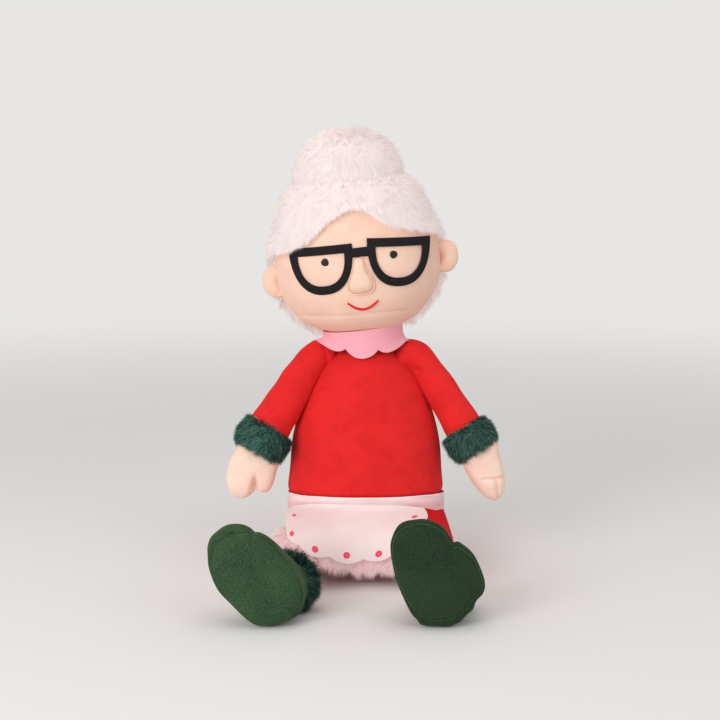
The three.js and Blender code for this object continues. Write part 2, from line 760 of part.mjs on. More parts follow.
function leg(side, word) {
  const foot = feet[word];
  const hip = hipPoint(side);
  const group = new THREE.Group();
  group.position.copy(hip);
  doll.add(group);
  const place = shoeFrame(foot);
  const local = (x, y, z) => place(x, y, z).sub(hip);
  const floor = block(point(-past, -past, -hip.z - past), point(past, past, -hip.z));
  const ring = (y, length, width, shift, sideShift = 0) => soleOutline(length, width, shift)
    .map(([x, z]) => local(x + sideShift, y, z));
  const soleBack = 2;
  add(group, `sole_${word}`, cut(skinRings([
    ring(soleBack, soleHalfLength - soleEdge, soleHalfWidth - soleEdge, 0),
    ring(0, soleHalfLength, soleHalfWidth, 0),
    ring(-0.6 * soleDome, soleHalfLength - soleEdge, soleHalfWidth - soleEdge, 0),
    ring(-0.95 * soleDome, 0.6 * soleHalfLength, 0.6 * soleHalfWidth, 0),
  ], { end: local(0, -soleDome, 0) }), floor), colours.sole, 0.95);
  const share = (amount) => soleBack + seamGap + amount * (shoeHeight - soleBack);
  const opening = ankleRadius + 5;
  const mix = THREE.MathUtils.lerp;
  add(group, `shoe_${word}`, cut(skinRings([
    ring(share(0), soleHalfLength - soleEdge, soleHalfWidth - soleEdge, 0),
    ring(share(0.12), soleHalfLength, soleHalfWidth, 0),
    ring(share(0.4), soleHalfLength, soleHalfWidth + shoeBulge, 1),
    ring(share(0.7), mix(soleHalfLength, opening, 0.35), mix(soleHalfWidth, opening, 0.2),
      0.3 * foot.ankleHeel, 0.3 * foot.ankleSide),
    ring(share(0.9), mix(soleHalfLength, opening, 0.75), mix(soleHalfWidth, opening, 0.65),
      0.75 * foot.ankleHeel, 0.75 * foot.ankleSide),
    ring(share(1), opening, opening - 2, foot.ankleHeel, foot.ankleSide),
  ]), floor), colours.shoe, 0.95);
  const ankle = local(foot.ankleSide, share(1) + seamGap, -foot.ankleHeel);
  const path = new THREE.QuadraticBezierCurve3(
    ankle.clone().multiplyScalar(-legRadius / ankle.length()),
    ankle.clone().add(point(0, ankle.length() * 0.45, 0)),
    ankle,
  );
  const round = (along, radius) => ({ along, wide: radius, deep: radius });
  add(group, `leg_${word}`, limb({
    path,
    across: point(1, 0, 0),
    stations: [round(0, legRadius), round(0.3, legRadius), round(0.7, legRadius), round(1, ankleRadius)],
    roundStart: legRadius,
    sides: 14,
    steps: 6,
  }), colours.tights);
  add(group, `ankle_cuff_${word}`, band({
    centre: ankle.clone().add(point(0, ankleCuffLength / 2 + seamGap, 0)),
    along: point(0, 1, 0),
    across: point(1, 0, 0),
    inner: legRadius + 2 * seamGap,
    swell: ankleCuffSwell,
    length: ankleCuffLength,
  }), colours.cuff, 1);
}

leg(-1, 'left');
leg(1, 'right');

// Skirt: one sheet from the waist to the floor that climbs over each thigh.
// Turn 0 is the front. Drop 0 is the waist and 1 is the hem. Out is the distance off the seat.
function lap(turn) {
  if (Math.cos(turn) <= 0) return 0;
  const from = Math.abs(Math.sin(turn) * skirtHalfWidth);
  const inner = hipSpread - legRadius - lapEase;
  const outer = hipSpread + legRadius + 2;
  return smooth(from, inner, inner + lapEase + 2) * (1 - smooth(from, outer, outer + 1.6 * lapEase));
}

function waistLevel(y) {
  return waistHeight - 1 - (y - bodyBack) * waistTilt;
}

function skirtSpan(turn) {
  const side = hemHeight + (hemSideHeight - hemHeight) * Math.sin(turn) ** 2;
  const hem = THREE.MathUtils.lerp(side, hipHeight + legRadius + lapRise, lap(turn));
  const top = waistLevel(bodyBack - waistHalfDepth * Math.cos(turn));
  return { top, hem, hug: waistHug / (top - hem) };
}

function flareAt(turn, drop) {
  const { hug } = skirtSpan(turn);
  return Math.max(0, (drop - hug) / (1 - hug));
}

function skirtPoint(turn, drop, out) {
  const flare = flareAt(turn, drop);
  const rest = Math.cos(turn) > 0 ? 0.4 : 1;
  const fold = foldDepth * flare * Math.sin(turn * skirtFolds) * rest;
  const mix = THREE.MathUtils.lerp;
  const wide = mix(waistHalfWidth, skirtHalfWidth, flare) + out + fold;
  const deep = mix(waistHalfDepth, skirtFront + lapReach * lap(turn), flare) + out + fold;
  const { top, hem } = skirtSpan(turn);
  return point(wide * Math.sin(turn), bodyBack - deep * Math.cos(turn), mix(top, hem, drop));
}

const skirtGap = seamGap + 0.2;
const skirtOuter = skirtGap + clothThickness;

function skirtForm() {
  return skinRings(turns(clothTurns).map((turn) => {
    const { hug } = skirtSpan(turn);
    const drops = [-0.06, hug, hemTop(turn), 1];
    return [
      ...drops.map((drop) => skirtPoint(turn, drop, skirtOuter)),
      ...drops.reverse().map((drop) => skirtPoint(turn, drop, skirtGap)),
    ];
  }), { loop: true, sheet: true });
}

// The drop at which the fur trim's upper edge is sewn on
function hemTop(turn) {
  const { top, hem } = skirtSpan(turn);
  return 1 - hemFurHeight / Math.max(top - hem, 2 * hemFurHeight);
}

function hemForm() {
  const start = skirtOuter + 7 * seamGap;
  return skinRings(turns(clothTurns).map((turn) => {
    const level = (share) => 1 - (1 - hemTop(turn)) * share;
    const section = [[0, 0], [-0.1, 0.5], [0.2, 0.95], [0.6, 1], [0.96, 0.6], [1, 0]];
    return section.map(([up, puff]) => skirtPoint(turn, level(up), start + hemFurDepth * puff));
  }), { loop: true });
}

add(doll, 'skirt', skirtForm(), colours.skirt);
add(doll, 'hem_trim', hemForm(), colours.hemFur, 1);

// Apron: a thin panel over the front of the skirt and the top of the fur, scalloped along its free edge
function apronForm() {
  const rows = 4;
  const clear = skirtOuter + seamGap;
  const over = hemFurDepth + 12 * seamGap;
  const place = (column, row, extra) => {
    const share = column / apronHalfColumns;
    const turn = (column / clothTurns) * Math.PI * 2;
    const scallop = apronScallop * Math.abs(Math.cos((share * apronScallops * Math.PI) / 2));
    const end = (apronDrop - apronScallop) * (1 - 0.55 * Math.abs(share) ** 6) + scallop;
    const { hug } = skirtSpan(turn);
    const drop = row === 0 ? 0 : THREE.MathUtils.lerp(hug, end, (row - 1) / (rows - 1));
    const off = over * smooth(flareAt(turn, drop), 0, 0.85 * flareAt(turn, hemTop(turn)));
    return skirtPoint(turn, drop, clear + off + extra);
  };
  const rings = [];
  for (let column = -apronHalfColumns; column <= apronHalfColumns; column += 1) {
    const ring = [];
    for (let row = 0; row <= rows; row += 1) ring.push(place(column, row, 0));
    for (let row = rows; row >= 0; row -= 1) ring.push(place(column, row, apronThickness));
    rings.push(ring);
  }
  return skinRings(rings, { sheet: true });
}

add(doll, 'apron', apronForm(), colours.apron, 0.8);

function ribbonForm() {
  const inner = skirtOuter + apronThickness + 3 * seamGap;
  const outer = inner + ribbonThickness;
  return skinRings(turns(clothTurns).map((turn) => {
    const at = (out, level) => {
      const y = bodyBack - (waistHalfDepth + out) * Math.cos(turn);
      const centre = waistLevel(bodyBack - waistHalfDepth * Math.cos(turn));
      return point((waistHalfWidth + out) * Math.sin(turn), y, centre + level * ribbonWidth);
    };
    return [at(inner, -0.5), at(outer, -0.5), at(outer, 0.5), at(inner, 0.5)];
  }), { loop: true });
}

add(doll, 'waist_ribbon', ribbonForm(), colours.ribbon, 0.35);

// Collar: a felt cape round the neck with a scalloped edge
function collarForm() {
  const rows = 3;
  const at = (turn, drop, out) => {
    const scallop = collarScallopDepth * Math.abs(Math.cos((turn * collarScallops) / 2));
    const front = Math.cos(turn) ** 2;
    const mix = THREE.MathUtils.lerp;
    const reach = mix(collarSideReach, collarFrontReach, front);
    const radius = mix(collarTopRadius, reach, Math.sin((drop * Math.PI) / 2)) + out;
    const low = mix(collarSideHeight, collarFrontHeight, front) + (collarScallopDepth - scallop) * front;
    const height = mix(collarTopHeight, low, drop ** 1.6);
    return point(radius * Math.sin(turn), neckPivot.y - radius * Math.cos(turn), height);
  };
  const section = Array.from({ length: rows + 1 }, (_, row) => row / rows);
  return skinRings(turns(56).map((turn) => [
    ...section.map((drop) => at(turn, drop, collarThickness)),
    ...[...section].reverse().map((drop) => at(turn, drop, 0)),
  ]), { loop: true, sheet: true });
}

add(doll, 'collar', collarForm(), colours.collar);

export default doll;
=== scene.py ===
import math

import bmesh
import bpy
import numpy as np
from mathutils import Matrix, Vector, kdtree


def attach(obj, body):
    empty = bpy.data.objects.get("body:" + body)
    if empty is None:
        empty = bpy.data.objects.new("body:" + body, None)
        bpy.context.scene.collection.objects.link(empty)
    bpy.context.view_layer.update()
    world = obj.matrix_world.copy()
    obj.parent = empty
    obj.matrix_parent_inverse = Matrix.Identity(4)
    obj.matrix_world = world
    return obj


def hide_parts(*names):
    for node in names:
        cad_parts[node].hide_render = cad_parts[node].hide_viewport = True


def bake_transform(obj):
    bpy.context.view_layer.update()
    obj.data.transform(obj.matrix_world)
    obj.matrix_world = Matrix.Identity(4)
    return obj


# A seated plush grandmother. Shapes are worked out in millimetres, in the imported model's frame,
# and turned into metres as each mesh is made. Left and right are the viewer's.

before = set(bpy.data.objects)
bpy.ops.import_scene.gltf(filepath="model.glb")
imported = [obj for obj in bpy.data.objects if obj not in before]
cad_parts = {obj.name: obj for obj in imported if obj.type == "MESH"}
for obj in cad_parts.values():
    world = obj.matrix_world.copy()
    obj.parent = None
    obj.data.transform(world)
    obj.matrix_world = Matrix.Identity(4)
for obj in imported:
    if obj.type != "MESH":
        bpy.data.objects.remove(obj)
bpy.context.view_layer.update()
mm = 0.001
wholeTurn = 6.283  # radians
rightward, backward, upward = np.eye(3)
bothSides = ((-1, "Left"), (1, "Right"))


# Shapes

def unit(v):
    return v / np.maximum(np.linalg.norm(v, axis=-1, keepdims=True), 1e-9)


def xyz(x, y, z):
    return np.stack(np.broadcast_arrays(x, y, z), axis=-1)


def smoothstep(x, low, high):
    t = np.clip((x - low) / (high - low), 0, 1)
    return t * t * (3 - 2 * t)


def mix(a, b, t):
    return a + (b - a) * t


def bell(x, width):  # 1 in the middle, fading over that width
    return np.exp(-((x / width) ** 2))


def rounded(wave, power):  # a sine or cosine of a rounded square: the higher the power, the squarer
    return np.sign(wave) * np.abs(wave) ** (2 / power)


def circle(count):
    return np.linspace(0, 2 * np.pi, count, endpoint=False)


def runAlong(path):  # length from the path's start to each of its points
    steps = np.cumsum(np.linalg.norm(np.diff(path, axis=0), axis=-1), axis=0)
    return np.concatenate([0 * steps[:1], steps])


def curveThrough(stations, at):  # smooth values through (place, value, value...) stations
    table = np.array(stations, float)
    places, values = table[:, 0], table[:, 1:]
    slopes = np.gradient(values, places, axis=0)
    at = np.clip(np.atleast_1d(at), places[0], places[-1])
    i = np.clip(np.searchsorted(places, at) - 1, 0, len(places) - 2)
    span = (places[i + 1] - places[i])[:, None]
    t = (at - places[i])[:, None] / span
    return ((2 * t**3 - 3 * t**2 + 1) * values[i] + (t**3 - 2 * t**2 + t) * span * slopes[i]
            + (3 * t**2 - 2 * t**3) * values[i + 1] + (t**3 - t**2) * span * slopes[i + 1])


def smoothLoop(corners, count):  # a closed smooth line through a few corners, evenly spaced
    p = np.array(corners, float)
    t = np.linspace(0, 1, 24, endpoint=False)[:, None]
    line = []
    for i in range(len(p)):
        a, b, c, d = p[i - 1], p[i], p[(i + 1) % len(p)], p[(i + 2) % len(p)]
        line.append(0.5 * (2 * b + (c - a) * t + (2 * a - 5 * b + 4 * c - d) * t**2
                           + (3 * b - a - 3 * c + d) * t**3))
    line = np.vstack(line + [line[0][:1]])
    run = runAlong(line[:, :2])
    at = np.linspace(0, run[-1], count, endpoint=False)
    return np.stack([np.interp(at, run, line[:, k]) for k in range(line.shape[1])], axis=1)


def curveRows(grid, count):  # more rows through the given ones, spaced by length
    run = runAlong(grid).mean(axis=1)
    flat = grid.reshape(len(grid), -1)
    at = np.linspace(0, run[-1], count)
    return curveThrough(np.column_stack([run, flat]), at).reshape(count, *grid.shape[1:])


def bezier(a, b, c, count):
    t = np.linspace(0, 1, count)[:, None]
    return (1 - t) ** 2 * a + 2 * t * (1 - t) * b + t**2 * c


def ripple(points, size, seed):  # soft random waves of about that size, roughly -1 to 1
    rng = np.random.default_rng(seed)
    total = np.zeros(points.shape[:-1])
    for _ in range(7):
        way = unit(rng.normal(size=3))
        total += np.sin(points @ way * (wholeTurn / size) * rng.uniform(0.6, 1.5) + rng.uniform(0, wholeTurn))
    return total / 3


def gridFaces(rows, columns, wrap=True):
    i, j = np.meshgrid(np.arange(rows - 1), np.arange(columns if wrap else columns - 1), indexing="ij")
    k = (j + 1) % columns
    return np.stack([i * columns + j, i * columns + k, (i + 1) * columns + k, (i + 1) * columns + j],
                    axis=-1).reshape(-1, 4)


def surface(name, grid, finish, wrap=True, close="", thick=0.0, cloth=None):  # close: "", "end" or "both"
    rows, columns = grid.shape[:2]
    points = grid.reshape(-1, 3)
    faces = [tuple(f) for f in gridFaces(rows, columns, wrap)]
    extra = []
    for wanted, first in ((close == "both", 0), (close != "", (rows - 1) * columns)):
        if wanted:
            middle = len(points) + len(extra)
            extra.append(points[first:first + columns].mean(axis=0))
            faces += [(first + j, first + (j + 1) % columns, middle) for j in range(columns)]
    if extra:
        points = np.vstack([points, extra])
    mesh = bpy.data.meshes.new(name)
    mesh.from_pydata((points * mm).tolist(), [], faces)
    if cloth is not None:  # where each point lies on the flat cloth, for prints and weave
        flat = mesh.attributes.new("flatPlace", "FLOAT_VECTOR", "POINT")
        cloth = np.vstack([cloth.reshape(-1, 3), np.zeros((len(extra), 3))])
        flat.data.foreach_set("vector", (cloth * mm).astype(np.float32).ravel())
    work = bmesh.new()
    work.from_mesh(mesh)
    bmesh.ops.remove_doubles(work, verts=work.verts, dist=1e-6)
    bmesh.ops.recalc_face_normals(work, faces=work.faces)
    work.to_mesh(mesh)
    work.free()
    mesh.shade_smooth()
    mesh.materials.append(finish)
    made = bpy.data.objects.new(name, mesh)
    bpy.context.scene.collection.objects.link(made)
    if thick:
        shell = made.modifiers.new("clothThickness", "SOLIDIFY")
        shell.thickness = thick * mm
        shell.offset = 0
        shell.use_rim = wrap  # halves that meet at a seam stay open there
    return made


def sweep(path, across, radius, sides, flat=1.0):  # rings along a path, as wide as radius and flattened
    tangent = unit(np.gradient(path, axis=0))
    wideAxis = unit(across - (tangent @ across)[:, None] * tangent)
    deepAxis = np.cross(tangent, wideAxis)
    turn = circle(sides)
    radius = np.broadcast_to(radius, len(path))[:, None]
    return (path[:, None] + wideAxis[:, None] * (radius * np.cos(turn))[..., None]
            + deepAxis[:, None] * (radius * flat * np.sin(turn))[..., None])


def ball(polar, columns):  # a ball of radius 1, in rows at those angles from its top
    polar, turn = polar[:, None], circle(columns)
    return xyz(np.sin(polar) * np.cos(turn), np.sin(polar) * np.sin(turn), np.cos(polar))


def roundEnd(run, length):  # how a limb swells from its sewn-in end
    return np.sqrt(np.clip(1 - (1 - np.clip(run / length, 0, 1)) ** 2, 0.0004, 1))


def puffed(outline, centre, depth, rows, power=2.2):  # two panels sewn round an outline and stuffed
    turn = np.linspace(0, np.pi, rows)[:, None]
    share = np.sin(turn) ** (2 / power)
    flat = centre + (outline[None] - centre) * share[..., None]
    return xyz(flat[..., 0], flat[..., 1], rounded(np.cos(turn), power) * depth)


def sewOn(piece, body=None, nodes=()):  # what a piece stands for and moves with
    if nodes:
        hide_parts(*nodes)
    if body:
        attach(piece, body)
    return piece


# Fur

def corners(grid, wrap=True):  # a grid's triangles, to root fur on
    quads = gridFaces(*grid.shape[:2], wrap)
    return grid.reshape(-1, 3)[np.vstack([quads[:, [0, 1, 2]], quads[:, [0, 2, 3]]])]


def scatter(triangles, count, rng, inside):  # roots all over the triangles, with normals that point away from inside
    cross = np.cross(triangles[:, 1] - triangles[:, 0], triangles[:, 2] - triangles[:, 0])
    area = np.linalg.norm(cross, axis=1)
    chosen = rng.choice(len(area), count, p=area / area.sum())
    a, b = rng.random((2, count, 1))
    a, b = np.where(a + b > 1, 1 - a, a), np.where(a + b > 1, 1 - b, b)
    t = triangles[chosen]
    roots = t[:, 0] + a * (t[:, 1] - t[:, 0]) + b * (t[:, 2] - t[:, 0])
    normals = unit(cross[chosen])
    return roots, normals * np.sign(np.sum(normals * (roots - inside), axis=1, keepdims=True))


def nearest(spots, points):  # for each point the nearest spot: its place, its number and how far it is
    tree = kdtree.KDTree(len(spots))
    for i, spot in enumerate(spots):
        tree.insert(spot, i)
    tree.balance()
    return [tree.find(p) for p in points]


fur = {"uneven": 0.4, "clump": 60, "gather": 0.6, "width": 0.42, "sink": 0.5, "relief": 0.5, "twist": 0.5}


def growFur(name, roots, normals, comb, look, finishes):
    rng = np.random.default_rng(look["seed"])
    count = len(roots)
    comb = unit(comb - np.sum(comb * normals, axis=1, keepdims=True) * normals)
    length = look["length"] * (1 + look["uneven"] * rng.uniform(-1, 1, (count, 1)))
    aim = unit(normals * look["lift"] + comb * look["lay"] + rng.normal(size=(count, 3)) * look["mess"])
    fall = comb * look["curl"] + np.array([0, 0, -look["droop"]])
    middle = roots + aim * length * 0.5 + fall * length * 0.12
    tip = roots + aim * length + fall * length * 0.5
    leaders = rng.choice(count, max(1, count // look["clump"]), replace=False)
    leader = leaders[[found[1] for found in nearest(roots[leaders], roots)]]
    gather = look["gather"] * rng.uniform(0.5, 1.0, (count, 1))
    tip = mix(tip, tip[leader], gather)
    middle = mix(middle, middle[leader], gather * 0.35)
    facing = normals * 0.8 + rng.normal(size=(count, 3)) * look["twist"]
    facing *= np.where(np.sum(facing * normals, axis=1, keepdims=True) < 0, -1, 1)
    side = unit(np.cross(unit(tip - roots), unit(facing)))
    half = look["width"] / 2 * rng.uniform(0.7, 1.3, (count, 1))
    foot = roots - normals * look["sink"]
    points = np.stack([foot - side * half, foot + side * half, middle + side * half * 0.8,
                       middle - side * half * 0.8, tip], axis=1).reshape(-1, 3)
    faces = (np.arange(count)[:, None, None] * 5 + np.array([[0, 1, 2], [0, 2, 3], [3, 2, 4]])).reshape(-1, 3)
    mesh = bpy.data.meshes.new(name)
    mesh.from_pydata((points * mm).tolist(), [], faces.tolist())
    for finish in finishes:
        mesh.materials.append(finish)
    mesh.polygons.foreach_set("material_index", np.repeat(rng.integers(0, len(finishes), count), 3))
    mesh.shade_smooth()
    # A pile is lit as a whole more than strand by strand
    soft = unit(normals + look["relief"] * (unit(facing) + 0.7 * comb))
    mesh.normals_split_custom_set_from_vertices(np.repeat(soft, 5, axis=0).tolist())
    made = bpy.data.objects.new(name, mesh)
    bpy.context.scene.collection.objects.link(made)
    return made


def settle(piece):  # strands lie on the floor where they reach it
    co = np.empty(len(piece.data.vertices) * 3, np.float32)
    piece.data.vertices.foreach_get("co", co)
    co[2::3] = np.maximum(co[2::3], 0.0002)
    piece.data.vertices.foreach_set("co", co)
    piece.data.update()


# Finishes

def paint(r, g, b):  # a screen colour as Blender's linear one
    return tuple(((c / 255 + 0.055) / 1.055) ** 2.4 if c > 10 else c / 3294.6 for c in (r, g, b)) + (1.0,)


class Value:  # one output of a node, used in plain maths
    def __init__(self, finish, socket):
        self.finish, self.socket = finish, socket

    def maths(self, operation, first, second):
        return self.finish.node("ShaderNodeMath", {"operation": operation}, {0: first, 1: second})

    def __add__(self, other): return self.maths("ADD", self, other)
    def __radd__(self, other): return self.maths("ADD", other, self)
    def __sub__(self, other): return self.maths("SUBTRACT", self, other)
    def __rsub__(self, other): return self.maths("SUBTRACT", other, self)
    def __mul__(self, other): return self.maths("MULTIPLY", self, other)
    def __rmul__(self, other): return self.maths("MULTIPLY", other, self)
    def __truediv__(self, other): return self.maths("DIVIDE", self, other)
    def __rtruediv__(self, other): return self.maths("DIVIDE", other, self)


class Finish:
    def __init__(self, name, kind=bpy.data.materials):
        self.made = kind.new(name)
        self.made.use_nodes = True
        self.tree = self.made.node_tree
        self.tree.nodes.clear()

    def node(self, kind, settings=None, inputs=None, output=0):
        made = self.tree.nodes.new(kind)
        for key, value in (settings or {}).items():
            setattr(made, key, value)
        for key, value in (inputs or {}).items():
            if isinstance(value, Value):
                self.tree.links.new(value.socket, made.inputs[key])
            else:
                made.inputs[key].default_value = value
        return Value(self, made.outputs[output]) if made.outputs else None

    def place(self):
        return self.node("ShaderNodeTexCoord", output="Object")

    def flatPlace(self):  # on the flat cloth
        return self.node("ShaderNodeAttribute", {"attribute_name": "flatPlace"}, output="Vector")

    def second(self, where):  # a place's second measure alone
        return self.node("ShaderNodeSeparateXYZ", inputs={0: where}, output=1)

    def noise(self, where, size, detail=2.0, rough=0.5):  # size in mm
        return self.node("ShaderNodeTexNoise", inputs={"Vector": where, "Scale": 1000 / size,
                                                       "Detail": detail, "Roughness": rough})

    def blend(self, factor, a, b):
        return self.node("ShaderNodeMix", {"data_type": "RGBA"}, {0: factor, 6: a, 7: b}, 2)

    def step(self, value, low, high):  # 0 below low, 1 above high
        return self.node("ShaderNodeMapRange", {"interpolation_type": "SMOOTHSTEP"},
                         {0: value, 1: low, 2: high, 3: 0.0, 4: 1.0})

    def stretch(self, where, x, y, z):
        return self.node("ShaderNodeVectorMath", {"operation": "MULTIPLY"}, {0: where, 1: (x, y, z)})

    def bump(self, height, strength, distance, under=None):  # distance in mm
        inputs = {"Height": height, "Strength": strength, "Distance": distance * mm}
        if under:
            inputs["Normal"] = under
        return self.node("ShaderNodeBump", inputs=inputs)

    def cloth(self, colour, normal, roughness, sheen=0.0, sheenTint=(1, 1, 1, 1), glow=None):
        inputs = {"Base Color": colour, "Roughness": roughness, "Sheen Weight": sheen, "Sheen Roughness": 0.5,
                  "Sheen Tint": sheenTint, "Specular IOR Level": 0.25}
        if normal:
            inputs["Normal"] = normal
        if glow:
            inputs["Emission Color"], inputs["Emission Strength"] = glow
        shader = self.node("ShaderNodeBsdfPrincipled", inputs=inputs)
        self.node("ShaderNodeOutputMaterial", inputs={"Surface": shader})
        return self.made


def plush(name, colour, shade, pale, nap, pile, depth, sheen, fleck, streak=1.0, sharp=(0.5, 0.78), glow=0.0):
    f = Finish(name)  # short brushed pile: soft patches where the nap lies differently, over fine fibres
    tilted = f.node("ShaderNodeVectorRotate", {"rotation_type": "Y_AXIS"}, {"Vector": f.place(), "Angle": 0.7})
    where = f.stretch(tilted, 1.0, 1.0, streak)
    colour, shade, pale = paint(*colour), paint(*shade), paint(*pale)
    patches = f.step(f.noise(where, nap, 3.0, 0.6), 0.36, 0.66)
    fibres = f.noise(where, pile, 3.0, 0.7)
    grain = f.noise(where, pile * 3.2, rough=0.6)
    base = f.blend(patches * 0.8, colour, shade)
    base = f.blend(f.step(fibres, *sharp) * fleck, base, pale)
    base = f.blend(f.step(grain, 0.55, 0.75) * fleck * 0.5, base, shade)
    normal = f.bump(fibres, 0.55, depth, f.bump(grain, 0.35, depth * 1.6))
    return f.cloth(base, normal, 0.95, sheen, pale, (colour, glow))


def strandShades(name, shades, glow):  # plain colours: the strands themselves make the texture
    made = []
    for i, shade in enumerate(shades):  # the glow stands for light that passes through fine pale fibres
        made.append(Finish(f"{name}{i}").cloth(paint(*shade), None, 0.8, 0.1, paint(*shade), (paint(*shade), glow)))
    return made


skinNap = {"pile": 0.55, "depth": 0.12, "sheen": 0.15, "fleck": 0.3}
furBacking = {"pile": 0.9, "depth": 0.4, "sheen": 0.2, "fleck": 0.3}
dressPlush = plush("dressPlush", (229, 36, 38), (216, 30, 32), (248, 84, 78), nap=22, pile=0.75, depth=0.25,
                   sheen=0.3, fleck=0.42)
skirtKnit = plush("skirtKnit", (222, 20, 26), (202, 15, 21), (240, 48, 48), nap=18, pile=0.7, depth=0.2,
                  sheen=0.15, fleck=0.35)
skinPlush = plush("skinPlush", (251, 213, 192), (247, 203, 183), (255, 228, 212), nap=20, **skinNap)
handPlush = plush("handPlush", (253, 222, 204), (249, 209, 192), (255, 234, 222), nap=18, **skinNap)
shoePlush = {}
# lit and shaded copies of one cloth, scaled per side: the right shoe's copies carry painted shade and are about a
# quarter darker; the left's stay near the cloth's own colour
for name, paintedShade in (("shoeLeft", 0.98), ("soleLeft", 1.02), ("shoeRight", 0.72), ("soleRight", 0.75)):
    shades = [(r * paintedShade, g * paintedShade, b * paintedShade) for r, g, b in ((42, 68, 43), (24, 50, 33), (96, 124, 84))]
    shoePlush[name] = plush(name, *shades, nap=34, pile=0.7, depth=0.7, sheen=0.5, fleck=0.5, streak=0.6,
                            sharp=(0.42, 0.74))
shoeSeamPlush = plush("shoeSeamPlush", (66, 94, 62), (50, 76, 50), (104, 132, 92), nap=12, pile=0.8, depth=0.3,
                      sheen=0.3, fleck=0.4)
# painted light: the hair's backing glows a little, so the gaps between its strands read light instead of in shade
hairBacking = plush("hairBacking", (240, 230, 229), (236, 225, 224), (246, 238, 237), nap=8, glow=0.15, **furBacking)
cuffBacking = plush("cuffBacking", (34, 64, 55), (26, 52, 44), (60, 98, 86), nap=6, **furBacking)
# painted light: the hem's backing glows a little too, for the gaps between its strands
hemBacking = plush("hemBacking", (246, 212, 214), (238, 198, 202), (252, 230, 230), nap=8, glow=0.1, **furBacking)

hairStrands = strandShades("hairStrand", [(242, 232, 231), (230, 219, 218), (249, 241, 240)], 0.235)
cuffStrands = strandShades("cuffStrand", [(74, 120, 108), (42, 78, 68), (116, 160, 146), (60, 100, 89)], 0.0)
# the second, pinker shade is partly painted shade tinted by reflected red; the others are the fur's own pale pinks
hemStrands = strandShades("hemStrand", [(252, 226, 226), (242, 196, 200), (255, 243, 242), (255, 236, 236)], 0.16)


def makeFelt(name, colour, pale):
    f = Finish(name)  # pressed felt: short matted fibres
    where, size = f.place(), 0.8
    fibres = f.noise(f.stretch(where, 1.0, 1.0, 2.2), size, 4.0, 0.7)
    mat = f.noise(where, size * 5)
    base = f.blend(f.step(fibres, 0.52, 0.75) * 0.6, paint(*colour), paint(*pale))
    return f.cloth(base, f.bump(fibres, 0.6, 0.2, f.bump(mat, 0.4, 0.3)), 0.92, 0.2, paint(*pale))


blackFelt = makeFelt("blackFelt", (30, 26, 28), (62, 56, 58))
pinkFelt = makeFelt("pinkFelt", (254, 176, 190), (255, 200, 210))


def makeThread(name, colour, pale, size):
    f = Finish(name)  # satin stitch
    rows = f.node("ShaderNodeTexWave", {"bands_direction": "X"},
                  {"Vector": f.place(), "Scale": 1000 / size / wholeTurn, "Distortion": 1.5, "Detail": 1.0})
    base = f.blend(rows * 0.5, paint(*colour), paint(*pale))
    return f.cloth(base, f.bump(rows, 0.6, 0.15), 0.45)


blackThread = makeThread("blackThread", (26, 24, 26), (64, 60, 64), 0.5)
redThread = makeThread("redThread", (214, 22, 32), (240, 70, 74), 0.6)
# the nose's stitch: a real stitched line whose dark orange also carries painted shade of the groove it lies in
stitchAndGrooveShade = makeThread("stitchAndGrooveShade", (222, 148, 118), (246, 196, 170), 0.7)

tights = {"stripeEvery": 6.8, "wobble": 1.6, "white": (250, 236, 234), "grey": (240, 220, 220),
          "stripe": (236, 126, 138)}


def makeTights():
    f = Finish("tightsKnit")
    wobble = f.noise(f.place(), 9) * (tights["wobble"] * mm)
    phase = f.node("ShaderNodeMath", {"operation": "FRACT"},
                   {0: (f.second(f.flatPlace()) + wobble) / (tights["stripeEvery"] * mm)})
    stripe = f.step(phase, 0.35, 0.6) * (1 - f.step(phase, 0.75, 0.98))
    rib = f.noise(f.place(), 0.8)
    base = f.blend(rib * 0.4, paint(*tights["white"]), paint(*tights["grey"]))
    base = f.blend(stripe * 0.8, base, paint(*tights["stripe"]))
    return f.cloth(base, f.bump(rib, 0.5, 0.2), 0.95, 0.25, paint(255, 240, 240))


tightsKnit = makeTights()

apron = {
    "halfWidth": 72.0, "length": 66.0, "corner": 3.3, "sidesFrom": 8.0, "scallops": 7, "scallopDepth": 4.5,
    "dotRadius": 3.2, "dotInset": 7.5, "endDotInset": 7.0, "dot": (238, 62, 98), "dotMiddle": (250, 130, 150),
    "thick": 0.5, "middle": -10.0, "roundWaist": 69.0, "overRibbon": 9.7, "offRibbon": 3.6, "reach": 0.6, "sink": 3.0,
    # Where the lower edge of the cloth comes to lie: place across the apron, then the point in the doll's frame
    "ends": [(-72, -78, -102, 41.1), (-36, -52, -112, 34.4), (0, -17.5, -101, 24.5), (36, 18, -102, 27.5),
             (72, 52, -104, 42)],
}
apronHeart = np.array([0, 10.0])  # scallops and dots point away from here


def plainEdge(turn):  # the apron's free edge before it is scalloped, turn running from 0 to 1
    around = np.pi * (1 - turn)
    return np.stack([rounded(np.cos(around), apron["corner"]) * apron["halfWidth"],
                     mix(apron["sidesFrom"], apron["length"], rounded(np.sin(around), apron["corner"]))], axis=-1)


def apronTurns():  # even steps along the free edge
    turn = np.linspace(0, 1, 4000)
    run = runAlong(plainEdge(turn))
    return turn, run / run[-1]


def scallopedEdge(turn):  # the scallops are even along the edge
    edge = plainEdge(turn)
    even = np.interp(turn, *apronTurns())
    bump = np.abs(np.sin(even * np.pi * apron["scallops"])) ** 0.8
    return edge + unit(edge - apronHeart) * ((bump - 1) * apron["scallopDepth"])[..., None]


